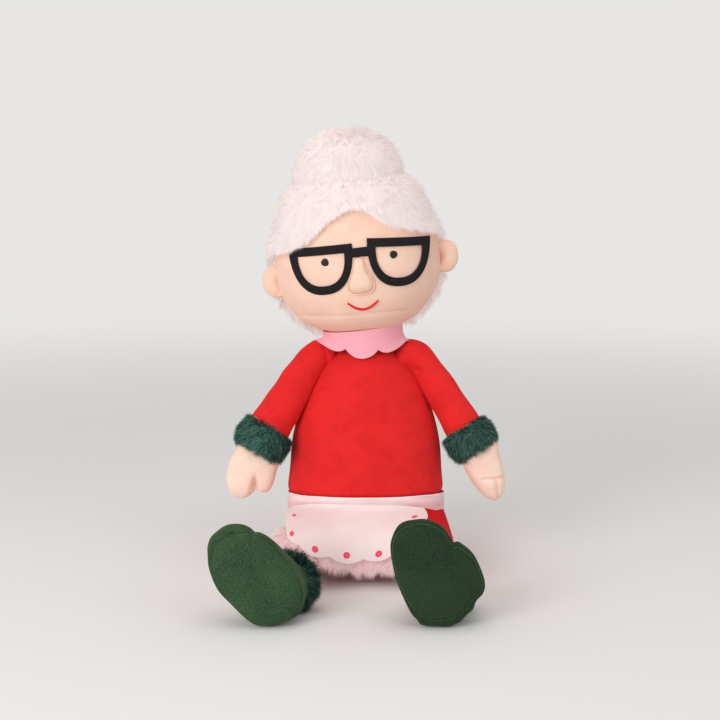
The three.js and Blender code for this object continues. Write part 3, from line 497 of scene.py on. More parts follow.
def makeApron():
    f = Finish("apronSatin")
    where = f.flatPlace()
    weave = f.noise(f.stretch(where, 1.0, 0.25, 1.0), 0.9)
    cloud = f.noise(where, 30)
    base = f.blend(f.step(cloud, 0.3, 0.7) * 0.6, paint(243, 222, 220), paint(237, 212, 211))
    turn, share = apronTurns()
    mask, ring = 0.0, 0.0
    for i in range(apron["scallops"]):
        at = np.interp((i + 0.5) / apron["scallops"], share, turn)
        edge = scallopedEdge(np.array([at]))[0]
        inset = apron["dotInset"] + apron["endDotInset"] * (i in (0, apron["scallops"] - 1))
        centre = (edge - unit(edge - apronHeart) * inset) * mm
        away = f.node("ShaderNodeVectorMath", {"operation": "DISTANCE"}, {0: where, 1: (*centre, 0)}, "Value")
        radius = apron["dotRadius"] * mm
        mask = mask + (1 - f.step(away, radius * 0.86, radius * 1.05))
        ring = ring + (1 - f.step(away, radius * 0.12, radius * 0.5))
    base = f.blend(mask, base, paint(*apron["dot"]))
    base = f.blend(ring * 0.45, base, paint(*apron["dotMiddle"]))
    return f.cloth(base, f.bump(weave, 0.3, 0.08), 0.5, 0.3, paint(255, 245, 245))


apronSatin = makeApron()


def makeRibbon():
    f = Finish("ribbonSatin")
    where = f.flatPlace()
    gatherFoldsAndShade = f.noise(f.stretch(where, 0.16, 1.0, 1.0), 4.5, 1.0, 0.4)
    weave = f.noise(f.stretch(where, 0.1, 1.0, 1.0), 0.5, 1.0)
    across = f.second(where)
    edge = f.step(across, 0.0069, 0.0074) + (1 - f.step(across, -0.0074, -0.0069))
    # painted light: the ribbon's upper part is lighter and its lower part pinker, as light falls on the satin from
    # above
    base = f.blend(f.step(across, -0.003, 0.0055), paint(240, 190, 192), paint(252, 222, 221))
    # painted shade: the gathers' folds are painted a darker pink, over their real bumps
    base = f.blend(f.step(gatherFoldsAndShade, 0.3, 0.75) * 0.35, base, paint(228, 168, 172))
    # both edges paler: a paler selvedge, and along the top edge a painted highlight
    base = f.blend(edge * 0.7, base, paint(255, 240, 238))
    return f.cloth(base, f.bump(gatherFoldsAndShade, 0.5, 0.6, f.bump(weave, 0.2, 0.05)), 0.3, 0.2, paint(255, 240, 240))


ribbonSatin = makeRibbon()
print("finishes ready")


# Body

dress = {
    "levels": [(50, 60, 40), (56, 66, 45), (63, 68, 46), (76, 69.5, 48), (96, 69.3, 48.5), (118, 67.3, 47),
               (140, 61.8, 43), (162, 53, 38), (176, 45.5, 34), (184, 39.5, 31.5), (191, 31.5, 29), (198, 23, 26),
               (204, 16, 20)],  # height, half width, half depth
    "lean": 3.5, "overRibbon": 1.9, "unevenness": 0.5,
}
waist = {"wide": 69.5, "deep": 47, "back": -4, "ribbonWidth": 15.8}
seat = {
    "levels": [(1.6, 60, 41), (4, 62.5, 43.5), (25, 66, 46), (45, 66, 46), (53, 62, 42)], "hollow": 15.5,
    "panel": (56, 37),  # half width, half depth, then each row's height and how far in it lies
    "panelRows": [(1.5, 0.6), (1.2, 0.1), (0.4, 0.1), (0.0, 0.8), (0.0, 4.0), (0.35, 5.0), (0.35, 5.6), (0.0, 6.6),
                  (0.0, 30.0)],
}
hip = np.array([52.0, -46, 20])


def waistLevel(y):  # the ribbon's middle, a little higher in front
    return 59 - (y - waist["back"]) * 0.1


def bodyY(height):
    return -4 + (height - 60) * math.tan(math.radians(dress["lean"]))


def makeTorso():
    heights = np.linspace(dress["levels"][0][0], dress["levels"][-1][0], 150)[:, None]
    size = curveThrough(dress["levels"], heights[:, 0])
    turn = circle(160)
    ribbonTop = waistLevel(waist["back"] + waist["deep"] * np.sin(turn)) + 7.5
    above = (heights - ribbonTop - 4.5) / 4.5
    overhang = dress["overRibbon"] * np.where(above > 0, bell(above, 2.4), bell(above, 1))
    grid = xyz((size[:, :1] + overhang) * np.cos(turn),
               bodyY(heights) + (size[:, 1:2] + overhang) * np.sin(turn), heights)
    away = unit((grid - [0, 3.0, 0]) * [1, 1, 0])
    grid += away * (ripple(grid, 46, 3) * dress["unevenness"])[..., None]
    seam = bell(grid[..., 1] - bodyY(grid[..., 2]), 1.3) * (grid[..., 2] < 176)
    grid -= away * (seam * 0.6)[..., None]  # side seams
    sewOn(surface("dressBody", grid, dressPlush, close="both"), "torso", ["torso"])


def makeSeat():
    heights = np.concatenate([np.linspace(1.6, 8, 10), np.linspace(10, 53, 30)])
    size = curveThrough(seat["levels"], heights)
    turn = circle(120)
    grid = xyz(size[:, :1] * np.cos(turn), -4 + size[:, 1:2] * np.sin(turn), heights[:, None])
    for side, word in bothSides:  # the stuffing gives way where each thigh is sewn on
        away = np.hypot(grid[..., 0] - side * hip[0], grid[..., 2] - hip[2])
        grid[..., 1] += np.clip(seat["hollow"] - away, 0, None) * (grid[..., 1] < -10) * 0.7
    piece = surface("seatCushion", grid, dressPlush, close="both")
    sewOn(piece, "torso", ["seat_body", "pellet_bag"])
    wide, deep = seat["panel"]
    panel = [xyz(np.cos(turn) * (wide - inset), -4 + np.sin(turn) * (deep - inset), height)
             for height, inset in seat["panelRows"]]
    under = surface("seatPanel", np.array(panel), dressPlush, close="both")
    sewOn(under, "torso", ["base_panel"])


makeTorso()
makeSeat()
print("body ready")


# Head

neckPivot = np.array([0, bodyY(207), 207.0])
skull = {"lift": 73, "forward": 4, "wide": 75, "deep": 62, "up": 74, "down": 66, "power": 2.3, "roll": 6.5}
skullMiddle = np.array([0, -skull["forward"], skull["lift"]])


def headPlace(p):  # from the upright head's own frame into the doll's
    roll = math.radians(skull["roll"])
    c, s = math.cos(roll), math.sin(roll)
    p = np.asarray(p, float)
    return neckPivot + xyz(p[..., 0] * c - p[..., 2] * s, p[..., 1], p[..., 0] * s + p[..., 2] * c)


def turned(v):  # a direction of the head's frame in the doll's
    return headPlace(v) - neckPivot


def skullGrid(grow, rows, sides, up=0.0):  # up raises the crown
    polar = np.linspace(0.0, np.pi, rows + 2)[1:-1, None]
    turn = circle(sides)
    level, spread = rounded(np.cos(polar), skull["power"]), rounded(np.sin(polar), skull["power"])
    height = level * (np.where(level > 0, skull["up"] + up, skull["down"]) + grow)
    taper = 1 - 0.05 * bell(height - 44, 17) * (up > 0)  # hair narrows towards the bun
    return skullMiddle + xyz(np.cos(turn) * spread * (skull["wide"] + grow) * taper,
                             np.sin(turn) * spread * (skull["deep"] + grow), height)


def facePoint(x, z, lift):  # the face's surface at a place across and up, raised by lift
    height = z - skull["lift"]
    reach = np.where(height > 0, skull["up"], skull["down"]) + lift
    spread = np.clip(1 - np.abs(height / reach) ** skull["power"], 0, 1) ** (1 / skull["power"])
    across = np.clip(np.abs(x) / (spread * (skull["wide"] + lift)), 0, 0.985)
    depth = np.sqrt(1 - across**2) * spread * (skull["deep"] + lift)
    return xyz(x, -skull["forward"] - depth, z)


def headPiece(name, grid, finish, slotName, nodes=(), fill=None, **more):
    return sewOn(surface(name, headPlace(grid), finish, **more), "head", nodes)


face = {"gusset": 28.5, "tilt": -0.05, "halfWidth": 62, "seam": 0.8, "fullness": 0.7, "unevenness": 0.35}


def makeFace():
    grid = skullGrid(0, 110, 180)
    x, y, z = np.moveaxis(grid, -1, 0)
    away = unit(grid - skullMiddle)
    front = smoothstep(-y, 2, 14)
    above = z - (face["gusset"] + face["tilt"] * x)  # the seam across the mouth
    seam = face["seam"] * bell(above, 0.9) * front * (np.abs(x) < face["halfWidth"])
    fullness = face["fullness"] * bell(above + 6.5, 6) * front
    grid = grid + away * (fullness - seam + ripple(grid, 38, 5) * face["unevenness"])[..., None]
    headPiece("face", grid, skinPlush, "skin_knit", ["head"], 0.9, close="both")
    stuffing = neckPivot + 20 * ball(np.linspace(0, np.pi, 24), 48)
    sewOn(surface("neckStuffing", stuffing, skinPlush), "neck", ["neck"])


glasses = {"middle": 3.0, "spread": 33.5, "top": 92.5, "halfWidth": 28.2, "drop": 42.5, "rim": 7.6, "power": 2.35,
           "bridge": (80.2, 88.2), "turn": (0.0, -6.0), "turnAbout": 72, "shift": (0.0, 0.6)}


def lensLine(inset, count=120):
    bowl = np.linspace(0, np.pi, int(count * 0.68), endpoint=False)
    wide, drop = glasses["halfWidth"] - inset, glasses["drop"] - 2 * inset
    lower = np.stack([rounded(np.cos(bowl), glasses["power"]) * wide,
                      glasses["top"] - inset - rounded(np.sin(bowl), glasses["power"]) * drop], -1)
    top = np.linspace(-1, 1, count - len(bowl), endpoint=False)
    upper = np.stack([top * wide, 0 * top + glasses["top"] - inset], -1)
    return np.vstack([lower, upper])


def makeGlasses():
    for side, word in bothSides:
        middle = glasses["middle"] + side * glasses["spread"] + glasses["shift"][side > 0]
        turn = math.radians(glasses["turn"][side > 0])
        outer, inner = lensLine(0), lensLine(glasses["rim"])
        for line in (outer, inner):  # each lens sits a little turned on the face
            x, z = line[:, 0].copy(), line[:, 1] - glasses["turnAbout"]
            line[:, 0] = x * math.cos(turn) - z * math.sin(turn)
            line[:, 1] = glasses["turnAbout"] + x * math.sin(turn) + z * math.cos(turn)
        rows = []
        for share, lift in ((0, 0.2), (0, 1.2), (0.04, 1.7), (0.12, 1.9), (0.5, 2.0), (0.88, 1.9), (0.96, 1.7),
                            (1, 1.2), (1, 0.2)):
            line = mix(outer, inner, share)
            lift = lift + 0.12 * ripple(xyz(line[:, 0], line[:, 1], 0), 7, 8)
            rows.append(facePoint(middle + line[:, 0], line[:, 1], lift))
        headPiece(f"glassesRim{word[0]}", rows, blackFelt, "black_felt")
    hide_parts("glasses")
    low, high = glasses["bridge"]
    reach = glasses["spread"] - glasses["halfWidth"] + glasses["rim"] * 0.45
    x = np.linspace(-reach, reach, 18) + glasses["middle"]
    rows = [facePoint(x, z, lift) for z, lift in ((low, 0.2), (low, 1.5), (low + 0.6, 1.85), (high - 0.6, 1.85),
                                                 (high, 1.5), (high, 0.2))]
    headPiece("glassesBridge", rows, blackFelt, "black_felt", wrap=False)


eyes = {"eyeLeft": ("eye_left", -27.3), "eyeRight": ("eye_right", 32.8), "level": 78.4, "radius": 3.35}


def makeEyes():
    turn = circle(40)
    for name in ("eyeLeft", "eyeRight"):
        node, x = eyes[name]
        rows = []
        for share, lift in ((1.0, 0.1), (1.0, 0.5), (0.9, 0.95), (0.6, 1.15), (0.2, 1.2)):
            radius = eyes["radius"] * share * (1 + 0.04 * np.sin(turn * 3 + x))
            rows.append(facePoint(x + np.cos(turn) * radius, eyes["level"] + np.sin(turn) * radius, lift))
        headPiece(name, rows, blackThread, "black_thread", [node], close="end")


nose = {"top": 81, "bottom": 46.6, "middle": 1.6, "stitch": 0.885,  # then one side: across, and share of the height
        "side": [(6.5, 0.02), (10.8, 0.1), (12.2, 0.24), (10.4, 0.42), (6.6, 0.68), (3.6, 1.0)]}


def noseLine(share, count=90):
    height = nose["top"] - nose["bottom"]
    line = [(-x, z) for x, z in reversed(nose["side"])] + [(0, 0)] + nose["side"]
    line = smoothLoop([(x, nose["bottom"] + z * height) for x, z in line], count)
    centre = np.array([0, nose["bottom"] + 0.34 * height])
    return centre + (line - centre) * share + [nose["middle"], 0]


def makeNose():
    rows = []
    for share, lift in ((1.0, 0.0), (1.0, 0.9), (0.985, 1.3), (0.95, 1.35), (0.915, 1.0), (0.89, 0.2), (0.865, 0.3),
                        (0.84, 1.2), (0.78, 2.1), (0.66, 3.0), (0.5, 3.8), (0.3, 4.2), (0.12, 4.3)):
        line = noseLine(share)
        flat = 1 - 0.45 * smoothstep(line[:, 1], 62, 80)
        rows.append(facePoint(line[:, 0], line[:, 1], lift * flat + 0.1))
    headPiece("nose", rows, skinPlush, "skin_knit", ["nose"], 0.7, close="end")
    # the stitch line round the nose, darkened with painted groove shade
    line = noseLine(nose["stitch"])
    path = facePoint(line[:, 0], line[:, 1], 0.55)
    headPiece("noseStitch", sweep(np.vstack([path, path[:2]]), backward, 0.5, 8), stitchAndGrooveShade, "skin_knit")


mouth = {"middle": 1.7, "halfWidth": 13.4, "low": 33.4, "rise": (7.1, 6.6), "thick": 1.1}


def makeMouth():
    share = np.linspace(-1, 1, 60)
    z = mouth["low"] + np.where(share > 0, mouth["rise"][1], mouth["rise"][0]) * np.abs(share) ** 1.9
    path = facePoint(mouth["middle"] + share * mouth["halfWidth"], z, 0.55)
    thick = mouth["thick"] * (1 - 0.3 * np.abs(share) ** 4)
    grid = sweep(path, upward, thick, 14, 0.8)
    headPiece("mouth", grid, redThread, "red_thread", ["mouth"], close="both")


ears = {
    "earLeft": ("ear_left", -1, (-75.5, -14, 62.5)), "earRight": ("ear_right", 1, (80, -10, 68)), "depth": 4.6,
    "outline": [(-12, 3), (-9, 11), (0, 14.8), (8, 12), (11.6, 3), (10, -7), (3, -14), (-6, -13), (-11, -6)],
}


def makeEars():
    for name in ("earLeft", "earRight"):
        node, side, middle = ears[name]
        line = smoothLoop(ears["outline"], 90)
        grid = puffed(line * [side, 1], np.array([0.0, 0.0]), ears["depth"], 30)
        a, b, c = grid[..., 0] * side, grid[..., 1], grid[..., 2]
        hollow = 5.2 * np.exp(-((a + 5) ** 2 / 18 + (b + 1) ** 2 / 34))
        fold = 2.6 * np.exp(-((a + 6.5 - 0.045 * (b + 1) ** 2) ** 2 / 2.4)) * np.exp(-((b + 1) ** 2 / 70))
        c = c - (hollow + fold) * (c > 0)
        headPiece(name, np.array(middle) + xyz(a * side, a * 0.15 - c, b), skinPlush, "skin_knit", [node])


makeFace()
makeGlasses()
makeEyes()
makeNose()
makeMouth()
makeEars()
print("head ready")


# Hair

hair = {
    "line": [(-82, 91), (-55.5, 95), (-37, 101), (-31, 107), (-20, 116.5), (-8, 124), (1, 126.5), (8, 125.5),
             (15, 121.5), (22.5, 114), (31, 107.5), (45, 103), (67.5, 96), (86, 91)],
    "behindEar": -6.0, "nape": 15.0, "base": 2.2, "crown": 12.0, "strands": 340000, "frontBefore": -12,
    "look": {**fur, "length": 9.0, "lift": 0.5, "lay": 0.85, "mess": 0.24, "curl": 0.2, "droop": 0.05, "clump": 36,
             "gather": 0.45, "width": 0.36, "sink": 0.6, "seed": 31, "relief": 0.22, "twist": 0.2},
}
bun = {"middle": np.array([0.8, -4, 150.0]), "size": np.array([46.5, 41.0, 40.0]), "foot": 142, "strands": 82000,
       "length": (3.5, 8.0)}


def bunGrid():
    return bun["middle"] + bun["size"] * ball(np.linspace(0, np.pi, 62)[1:-1], 90)


def bunReach(p, grow=0):  # 1 on the bun's surface
    return np.linalg.norm((p - bun["middle"]) / (bun["size"] + grow), axis=-1)


def hairy(p):  # where on the head the hair grows, in the head's own frame
    above = p[..., 2] > np.interp(p[..., 0], *np.array(hair["line"]).T)
    start = hair["behindEar"] - 0.35 * np.clip(p[..., 2] - 84, 0, 30) + 6 * (1 - smoothstep(p[..., 2], 40, 66))
    return above | (p[..., 1] > start) & (p[..., 2] > hair["nape"])


def makeHair():
    shell = skullGrid(hair["base"], 90, 150, up=hair["crown"])
    # The backing stops where the hair does: hidden below the face's surface elsewhere
    shell = np.where(hairy(shell)[..., None], shell, shell - unit(shell - skullMiddle) * 6)
    headPiece("hairBacking", shell, hairBacking, "hair_fur", ["hair_cap"], close="both")
    headPiece("bunBacking", bunGrid(), hairBacking, "hair_fur", ["hair_bun"], 0.9, close="both")
    rng = np.random.default_rng(21)
    triangles = corners(skullGrid(hair["base"] - 0.3, 90, 150, up=hair["crown"]))
    roots, normals = scatter(triangles, hair["strands"], rng, skullMiddle)
    keep = hairy(roots) & (bunReach(roots, -3) > 1)
    roots, normals = roots[keep], normals[keep]
    comb = unit(roots - [2, 6, 150.0]) + [0, 0.1, 0] - 0.25 * normals
    look = hair["look"]
    front, left = roots[:, 1] < hair["frontBefore"], roots[:, 0] < 0
    quarters = {"FrontLeft": front & left, "FrontRight": front & ~left,
                "BackLeft": ~front & left, "BackRight": ~front & ~left}
    for name, part in quarters.items():
        chosen = np.flatnonzero(part)[:62000]
        low = 1 - smoothstep(roots[chosen, 2:3], 40, 66)  # in thicker tufts along the jaw
        near = np.abs(bunReach(roots[chosen]) - 1) * 45  # mm from the bun's seam, where the hair is short
        fringe = {**look, "length": look["length"] * (1 - 0.5 * bell(near, 7))[:, None],
                  "gather": look["gather"] + 0.35 * low}
        piece = growFur(f"hairFur{name}", headPlace(roots[chosen]), turned(normals[chosen]), turned(comb[chosen]),
                        fringe, hairStrands)
        sewOn(piece, "head")
    roots, normals = scatter(corners(bunGrid()), bun["strands"], rng, bun["middle"])
    keep = roots[:, 2] > bun["foot"]
    roots, normals = roots[keep], normals[keep]
    length = mix(*bun["length"], smoothstep(roots[:, 2:3], bun["foot"], 160))
    look = {**look, "length": length, "seed": 33, "lay": 0.8}
    comb = turned(unit(roots - [4, -4, 190.0]))
    sewOn(growFur("bunFur", headPlace(roots), turned(normals), comb, look, hairStrands), "head")


makeHair()
print("hair ready")


# Collar

collarCut = {"top": 219, "lean": 4.3, "front": 193.3, "sides": 203.5, "scallops": 7, "cusps": (2.6, 7.2), "thick": 1.3}


def makeCollar():
    drop = np.linspace(0, 1, 30)[:, None]
    turn = np.linspace(-np.pi, np.pi, 330, endpoint=False)
    off = np.abs(turn)
    front = 1 - smoothstep(off, 0.3, 1.5)
    low = mix(collarCut["sides"], collarCut["front"], 1 - smoothstep(off, 0.15, 1.4)) - 2 * smoothstep(off, 1.7, 2.6)
    cusp = 1 - np.abs(np.cos(collarCut["scallops"] / 2 * (turn + 0.044))) ** 0.75
    low = low + cusp * mix(*collarCut["cusps"], front)
    high = collarCut["top"] + collarCut["lean"] * np.sin(turn)
    radius = mix(36.5 - 1.5 * front, mix(40.0, 33.5, front), drop**2.4) - 1.2 * np.sin(drop * np.pi)
    tip = bell(off - 1.5, 0.3) * drop**5  # the edge flicks up over the shoulders
    radius = radius + 2.0 * tip
    grid = xyz(radius * np.sin(turn) - mix(3.0, 2.4, drop) - 2.5 * tip * (turn < 0),
               neckPivot[1] - radius * np.cos(turn), mix(high, low, drop) + 1.2 * tip)
    piece = surface("collar", grid, pinkFelt, thick=collarCut["thick"], cloth=xyz(38 * turn, 22 * drop, 0))
    return sewOn(piece, "torso", ["collar"])


collar = makeCollar()


# Arms

arm = {
    "shoulder": (46.0, bodyY(193), 193.0), "inside": 21,
    "fold": {"place": (47.0, -9.0, 180.0), "size": (3.0, 9.0, 2.6), "depth": 3.2},
    "Left": {"forward": 11.0, "wrist": (93.0, -20.0, 119.0), "cuff": {"length": 20.0, "radius": 16.6},
             "stations": [(0, 14.3), (0.25, 15.4), (0.5, 17.0), (0.75, 18.4), (0.92, 18.8), (1.0, 17.0)]},
    "Right": {"forward": 1.0, "wrist": (94.5, -20.0, 119.0), "cuff": {"length": 19.0, "radius": 14.8},
              "stations": [(0, 14.3), (0.25, 14.8), (0.5, 15.6), (0.75, 16.5), (0.92, 17.0), (1.0, 15.4)]},
    "cuff": {"rows": 15, "swell": 2.6, "strands": 30000, "swirl": (0.5, 16, 7)},
    "look": {**fur, "length": 8.0, "lift": 0.75, "lay": 0.5, "mess": 0.3, "curl": 0.35, "droop": 0.1},
}


def makeCuff(names, body, middle, along, across, cuff, comb, seed, look):  # a fur band round a wrist or an ankle
    share = np.linspace(-0.5, 0.5, cuff["rows"])
    profile = cuff["radius"] + cuff["swell"] * np.sqrt(np.clip(1 - (share * 2) ** 2, 0, 1))
    ring = sweep(middle + share[:, None] * cuff["length"] * along, across, profile, 60)
    sewOn(surface(names[0], ring, cuffBacking), body, [names[2]])
    roots, normals = scatter(corners(ring), cuff["strands"], np.random.default_rng(seed), middle)
    amount, size, waves = cuff["swirl"]
    comb = comb + amount * ripple(roots, size, waves)[:, None] * across
    return sewOn(growFur(names[1], roots, normals, comb, look, cuffStrands), body)


def makeArm(side, word):
    shoulder = np.array(arm["shoulder"]) * [side, 1, 1]
    wrist = np.array(arm[word]["wrist"]) * [side, 1, 1]
    along = unit(wrist - shoulder)
    seam = shoulder - [side * 4, 0, 0]
    first = np.linspace(shoulder - [side * arm["inside"], 0, 0], seam, 14)
    rest = bezier(seam, shoulder + [side * 5.0, -arm[word]["forward"], -1.0], wrist - along * 3, 70)[1:]
    path = np.vstack([first, rest])
    run = runAlong(path)
    share = np.clip((run - 19) / (run[-1] - 19), 0, 1)
    radius = curveThrough(arm[word]["stations"], share)[:, 0] * roundEnd(run, 8)
    grid = sweep(path, backward, radius, 72)
    away = unit(grid - path[:, None])
    grid += away * (ripple(grid, 30, 40 + side) * 0.4)[..., None]
    if side > 0:  # a small fold under the arm
        off = (grid - arm["fold"]["place"]) / arm["fold"]["size"]
        grid -= away * (arm["fold"]["depth"] * np.exp(-np.sum(off**2, axis=-1)))[..., None]
    pucker = bell(share - 0.97, 0.04)[:, None]
    grid -= away * (pucker * (0.35 + 0.3 * np.sin(circle(72) * 9)))[..., None]
    body = f"arm_{word.lower()}"
    sleeve = surface(f"sleeve{word}", grid, dressPlush, close="both")
    sewOn(sleeve, body, [f"sleeve_{word.lower()}"])
    makeCuff((f"cuff{word}", f"cuffFur{word}", f"cuff_{word.lower()}"), body, wrist, along,
             unit(np.cross(along, backward)), {**arm["cuff"], **arm[word]["cuff"]}, along, 60 + side,
             {**arm["look"], "seed": 70 + side})
    makeHand(word, body, wrist)


hands = {
    "Left": {"outline": [(-112, 121), (-117.2, 110), (-123, 99.9), (-126.4, 85.2), (-125.4, 76.5), (-122.8, 70.2),
                         (-118.5, 66.8), (-112.6, 65.3), (-107, 67.2), (-103.2, 70.6), (-100.6, 73.6), (-97.4, 72.4),
                         (-92.7, 70.6), (-87.8, 73), (-84.6, 79), (-82.6, 86), (-79.6, 98.6), (-80, 110), (-90, 120)],
             "middle": (-101.0, 92.0)},
    "Right": {"outline": [(76, 118), (85, 102.4), (91.3, 89), (96.6, 79.8), (101.8, 73.2), (107.9, 67.4), (112.9, 64.8),
                          (116.8, 63.6), (119.8, 64.6), (123, 67.2), (125.2, 71.4), (126, 77.6), (125.4, 83.8),
                          (123.7, 93.7), (121, 104.9), (113, 122)],
              "middle": (107.5, 91.0)},
    "depth": 11.5, "seam": 0.55,
}


def makeHand(word, body, wrist):
    hand = hands[word]
    line = smoothLoop(hand["outline"], 150)
    centre = np.array(hand["middle"])
    grid = puffed(line, centre, hands["depth"], 54, 2.3)
    x, z, c = grid[..., 0], grid[..., 1], grid[..., 2]
    if word == "Left":  # thumb and fingers part at the notch
        along = np.clip((z - 72) / 22, 0, 1)
        valley = bell(x + 101.3 - 2 * along, mix(3.2, 1.6, along)) * (1 - smoothstep(z, 76, 92))
        c = c * (1 - 0.75 * valley)
        c -= np.sign(c) * 1.4 * np.exp(-(((x + 100.8) ** 2 + (z - 78) ** 2) / 9))
    else:  # the thumb is folded in front: a crease across, and a seam down to the tip
        crease = bell(z - 84.8 - 0.06 * (x - 113), 1.1) * smoothstep(x, 101, 109)
        seam = bell(x - mix(117.0, 120.2, np.clip((84 - z) / 18, 0, 1)), 1.0) * (1 - smoothstep(z, 82, 85))
        thumb = 0.9 * bell(z - 80, 4) * smoothstep(x, 104, 112)
        c = np.where(c > 0, c - 2.0 * crease - 2.2 * seam + thumb, c)

    def depthAt(z):  # the hand hangs a little forward
        return wrist[1] - 4 - (wrist[2] - z) * 0.05

    piece = surface(f"hand{word}", xyz(x, depthAt(z) - c, z), handPlush)
    sewOn(piece, body, [f"hand_{word.lower()}"])
    rim = centre + (line[4:-6] - centre) * 0.997
    path = xyz(rim[:, 0], depthAt(rim[:, 1]), rim[:, 1])
    edge = surface(f"handSeam{word}", sweep(path, backward, hands["seam"], 10), handPlush, close="both")
    sewOn(edge, body)


for side, word in bothSides:
    makeArm(side, word)
print("arms ready")


# Legs and shoes

feet = {
    "Left": {
        "middle": (-89.0, -205.0, 43.0), "lean": 28.6, "ankle": (12, -28),
        # Side, toe, and how far the sole's seam lies inside
        "outline": [(-25.4, 32.8, 4), (-21.4, 39.0, 5), (-14.6, 43.9, 6), (-2.7, 45.6, 7), (7.2, 42.4, 7),
                    (12.9, 37.2, 4), (13.9, 31.6, 2), (18.8, 28.1, 2), (23.3, 20, 2), (26, 10.2, 2), (28.2, -2.1, 2),
                    (29.2, -16.7, 2), (27.5, -29.6, 2.4), (20.4, -40.8, 3), (11.6, -45.3, 3), (0.4, -45.8, 3),
                    (-11.4, -42.3, 2.5), (-22.3, -32.5, 2.5), (-29.3, -9.1, 2.5), (-32, 5.5, 2.5), (-30, 22.2, 3)],
        "dimple": (0.5, 37.0), "wrinkles": 0.4,
    },
    "Right": {
        "middle": (56.4, -207.0, 43.6), "lean": 11.0, "ankle": (4, -21.0),
        "outline": [(-31.4, 34.2, 2), (-22.1, 44.8, 2), (-5.7, 46.5, 2), (8.9, 38.8, 2), (15.6, 26.5, 2),
                    (16.6, 22.2, 2), (21.7, 21.4, 2), (31.6, 9.5, 2), (35.7, -11.0, 2), (33.2, -21.5, 3),
                    (26.5, -27.5, 4), (20.5, -35.0, 5), (8, -41.5, 6), (-6.6, -43.2, 7), (-19.5, -38.2, 7),
                    (-27.4, -25.6, 5), (-31.6, -7.3, 2), (-33.6, 13.9, 2)],
        "dimple": None, "wrinkles": 1.0,
    },
    # The upper, from the sole's seam back: depth, share out to the rim, share in to the ankle
    "upper": [(3.4, -0.3, 0), (2.4, 0.0, 0), (2.5, 0.3, 0), (3.2, 0.62, 0), (4.6, 0.88, 0), (6.8, 1.0, 0),
              (11, 1.04, 0.0), (16, 1.04, 0.05), (21, 1.0, 0.16), (26, 0.97, 0.34), (31, 0.95, 0.56), (35, 0.95, 0.76),
              (38.5, 0.95, 0.92), (41.5, 0.95, 1.0)],
    "opening": 19.0,
    "cuff": {"length": 15.0, "radius": 14.6, "rows": 13, "swell": 2.6, "strands": 26000, "swirl": (0.4, 14, 12)},
    "look": {**fur, "length": 11.0, "uneven": 0.45, "lift": 0.8, "lay": 0.3, "mess": 0.36, "curl": 0.25, "droop": 0.15},
}


def makeShoe(side, word, place, body):
    foot = feet[word]

    def pinch(flat):  # where the toe's seam is drawn in
        if not foot["dimple"]:
            return 0 * flat[:, 0]
        return 3.6 * bell(np.hypot(*(flat - foot["dimple"]).T), 3.2)

    line = smoothLoop(foot["outline"], 220)
    rim = line[:, :2]
    seamLine = rim + unit(-rim) * line[:, 2:]
    # Sole: a padded panel, fuller in the middle
    rows = []
    for share in np.concatenate([np.linspace(0.02, 0.8, 44), np.linspace(0.82, 1.0, 22)]):
        dome = 6.0 * (1 - share**2.4) + 2.4 * (1 - share**9)
        flat = seamLine * share
        p = xyz(flat[:, 0], 1.8 - dome + pinch(flat), flat[:, 1])
        p[:, 1] += 0.5 * ripple(p, 24, 80 + side)
        heel = smoothstep(-flat[:, 1], 14, 36) * foot["wrinkles"]
        fold = ripple(p * [0.45, 1, 1], 10, 90 + side)  # the cloth is gathered in folds across the heel
        p[:, 1] += heel * 1.3 * (1 - np.abs(fold) * 1.6)
        rows.append(p)
    rows.append(xyz(seamLine[:, 0] * 0.99, 3.4, seamLine[:, 1] * 0.99))
    sole = surface(f"sole{word}", place(np.array(rows)), shoePlush[f"sole{word}"], close="both")
    sewOn(sole, body, [f"sole_{word.lower()}"])
    # Upper: swells out past the sole's seam and draws in to the ankle
    turn = np.arctan2(rim[:, 1], rim[:, 0])
    top = foot["ankle"] + feet["opening"] * np.stack([np.cos(turn), np.sin(turn)], -1)
    rows = []
    for depth, out, close in feet["upper"]:
        flat = mix(mix(seamLine, rim, out), top, close)
        rows.append(xyz(flat[:, 0], depth + pinch(flat) * (depth < 8), flat[:, 1]))
    fine = curveRows(np.array(rows), 60)
    away = unit(fine * [1, 0, 1])
    heel = smoothstep(-fine[..., 2], 20, 40) * foot["wrinkles"]
    bumps = 0.5 * ripple(fine, 30, 95 + side) + heel * 0.9 * ripple(fine * [1, 2.2, 1], 11, 97 + side)
    upper = surface(f"shoe{word}", place(fine + away * bumps[..., None]), shoePlush[f"shoe{word}"], close="end")
    sewOn(upper, body, [f"shoe_{word.lower()}"])
    # Seam cord between sole and upper
    path = place(xyz(seamLine[:, 0], 1.7 + pinch(seamLine), seamLine[:, 1]) * [1.004, 1, 1.004])
    cord = sweep(np.vstack([path, path[:2]]), backward, 0.3, 10)
    sewOn(surface(f"shoeSeam{word}", cord, shoeSeamPlush), body)


